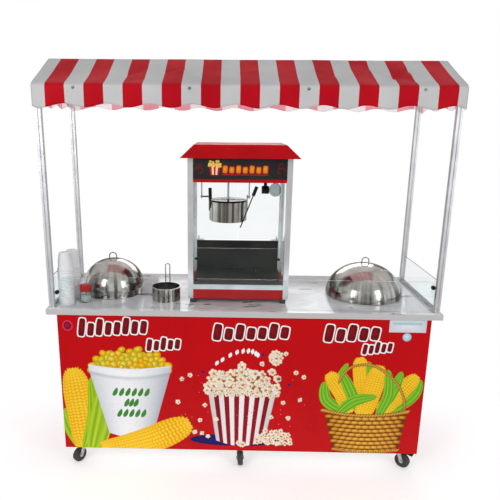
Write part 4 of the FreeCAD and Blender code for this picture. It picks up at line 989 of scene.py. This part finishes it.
def fasteners():
    stud = steel("stud_metal", rgb(150, 150, 152), rgb(120, 120, 122), 0.3, (1, 1, 1))
    stud_places = (-755, -251, 261, 757)        # across the front valance
    for number, x in enumerate(stud_places, start=1):
        button(f"canopy_stud_{number}", x, COVER_LOW.y + 2, EAVE - 16, 7, 4.5, stud)
    pane_low, pane_high = box("machine_glass")
    left, right, low, high = pane_low.x + 29, pane_high.x - 40, pane_low.z + 43, pane_low.z + 150
    screw = paint("glass_screw_black", rgb(24, 24, 26), rgb(40, 40, 42), 0.35)
    for number, (x, z) in enumerate(((left, high), (right, high), (left, low), (right, low)), start=1):
        button(f"glass_screw_{number}", x, pane_low.y + 0.2, z, 7, 6, screw)


# Stage -------------------------------------------------------

def floor():
    """A pale floor that fades into the white background away from the cart."""
    size, clear_from, clear_to = 6, 0.8, 1.7
    mesh = bpy.data.meshes.new("floor")
    corners = [(-size, -size, 0), (size, -size, 0), (size, size, 0), (-size, size, 0)]
    mesh.from_pydata(corners, [], [(0, 1, 2, 3)])
    made = Finish("studio_floor", rgb(250, 250, 250), 0.6)
    made.worn(rgb(250, 250, 250), rgb(246, 246, 246), 1.5, 0.55, 0.7)
    made.set("Emission Color", (1, 1, 1, 1)).set("Emission Strength", 0.3)
    ring = made.stretched((0.82, 1.25, 1))
    reach = made.node("ShaderNodeVectorMath", {0: ring}, operation="LENGTH").outputs["Value"]
    made.set("Alpha", made.span(reach, clear_from, clear_to, 1.0, 0.0))
    mesh.materials.append(made.material)
    add("floor", mesh)


def softbox(name, place, target, width, height, power):
    """An area light in metres and watts."""
    lamp = bpy.data.lights.new(name, "AREA")
    lamp.shape, lamp.size, lamp.size_y, lamp.energy = "RECTANGLE", width, height, power
    holder = add(name, lamp)
    holder.location = place
    holder.rotation_euler = (Vector(target) - Vector(place)).to_track_quat("-Z", "Y").to_euler()


HORIZON = ((0.47, (0.55, 0.54, 0.53, 1)), (0.52, (0.12, 0.10, 0.09, 1)), (0.62, (0.16, 0.13, 0.11, 1)),
           (0.70, (0.8, 0.8, 0.8, 1)))      # what metal mirrors, from straight down at 0 to straight up at 1


def studio():
    """White to the camera; to mirrors a pale room with a dark band at the horizon; soft light to the rest."""
    world = bpy.data.worlds.new("studio")
    bpy.context.scene.world = world
    world.use_nodes = True
    made = Shading(world.node_tree)
    height = made.split(made.node("ShaderNodeNewGeometry").outputs["Incoming"])[2]
    room = made.node("ShaderNodeValToRGB", {0: made.span(height, 1.0, -1.0)})
    stops = room.color_ramp.elements
    stops[0].color, stops[1].color = (0.75, 0.74, 0.73, 1), (1, 1, 1, 1)
    for place, tone in HORIZON:
        stops.new(place).color = tone
    mirrored = world.node_tree.nodes["Background"]
    made.feed(mirrored.inputs[0], room.outputs[0])
    made.feed(mirrored.inputs[1], 0.9)
    soft = made.node("ShaderNodeBackground", {0: (0.97, 0.98, 1.0, 1), 1: 0.55})
    even = made.node("ShaderNodeBackground", {0: (1, 1, 1, 1), 1: 1.0})
    ray = made.node("ShaderNodeLightPath").outputs
    lit = made.node("ShaderNodeMixShader",
                    {0: ray["Is Glossy Ray"], 1: soft.outputs[0], 2: mirrored.outputs[0]})
    straight = made.maths("MAXIMUM", ray["Is Camera Ray"], ray["Is Transmission Ray"])
    seen = made.node("ShaderNodeMixShader", {0: straight, 1: lit.outputs[0], 2: even.outputs[0]})
    made.feed(world.node_tree.nodes["World Output"].inputs[0], seen.outputs[0])


def lights():
    softbox("key", (-2.6, -3.6, 2.6), (0, 0, 0.9), 1.2, 2.6, 60)
    softbox("fill", (3.0, -3.2, 2.2), (0, 0, 0.9), 1.0, 2.6, 40)
    softbox("top", (0, 0.2, 4.4), (0, 0, 1), 3.0, 1.6, 16)
    softbox("back", (0.5, 3.4, 2.6), (0, 0, 1), 3.0, 1.5, 30)


CAMERA_PLACE = Vector((-0.0798, -2.7805, 1.7231))       # metres
CAMERA_PITCH, CAMERA_YAW, CAMERA_ROLL = 0.25635, -0.0211, 0.00804       # radians


def camera():
    """A little left of the middle, above the popping machine's roof, looking slightly down."""
    lens = bpy.data.cameras.new("camera")
    lens.lens, lens.sensor_width = 39.48, 36
    lens.shift_x, lens.shift_y = 0.0685, 0.0317
    lens.clip_start = 0.05
    made = add("camera", lens)
    aim = Euler((pi / 2 - CAMERA_PITCH, 0, -CAMERA_YAW)).to_matrix() @ Matrix.Rotation(CAMERA_ROLL, 3, "Z")
    made.matrix_world = Matrix.Translation(CAMERA_PLACE) @ aim.to_4x4()
    bpy.context.scene.camera = made


def round_edges():
    """Takes the sharpness off the boards and sheet-metal boxes."""
    widths = {"worktop": 1.0, "machine_base": 1.2, "machine_roof": 1.5, "machine_corner_posts": 1.0,
              "front_panel": 0.8, "side_panels": 0.8, "canopy_posts": 0.8, "canopy_frame": 0.8,
              "guard_channels": 0.6, "crumb_drawer": 0.8}
    for node, width in widths.items():
        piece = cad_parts[node]
        weld = piece.modifiers.new("weld", "WELD")
        weld.merge_threshold = 0.00001
        edges = piece.modifiers.new("edges", "BEVEL")
        edges.width, edges.segments, edges.limit_method = width * MM, 2, "ANGLE"
        edges.harden_normals = True


canopy()
headline("left", (-796, 716), (-455, 736), 92, 66, 8)
headline("left_lower", (-467, 644), (-297, 660), 62, 50, 5)
headline("middle", (-147, 706), (228, 722), 84, 60, 7)
headline("right", (386, 706), (660, 722), 88, 64, 5)
headline("right_lower", (574, 644), (722, 664), 52, 44, 5)
corn_cup_print()
popcorn_bucket_print()
corn_basket_print()
stickers_print()
sign_artwork()
white_foam = foam()
cup_stack("cup_stack_front", on_worktop(78, 96), 257, white_foam)
cup_stack("cup_stack_rear", on_worktop(88, 183), 249, white_foam)
jar()
fasteners()
sill()
vent_cover()
round_edges()
floor()
studio()
lights()
camera()
bpy.context.scene.view_settings.view_transform = "Standard"
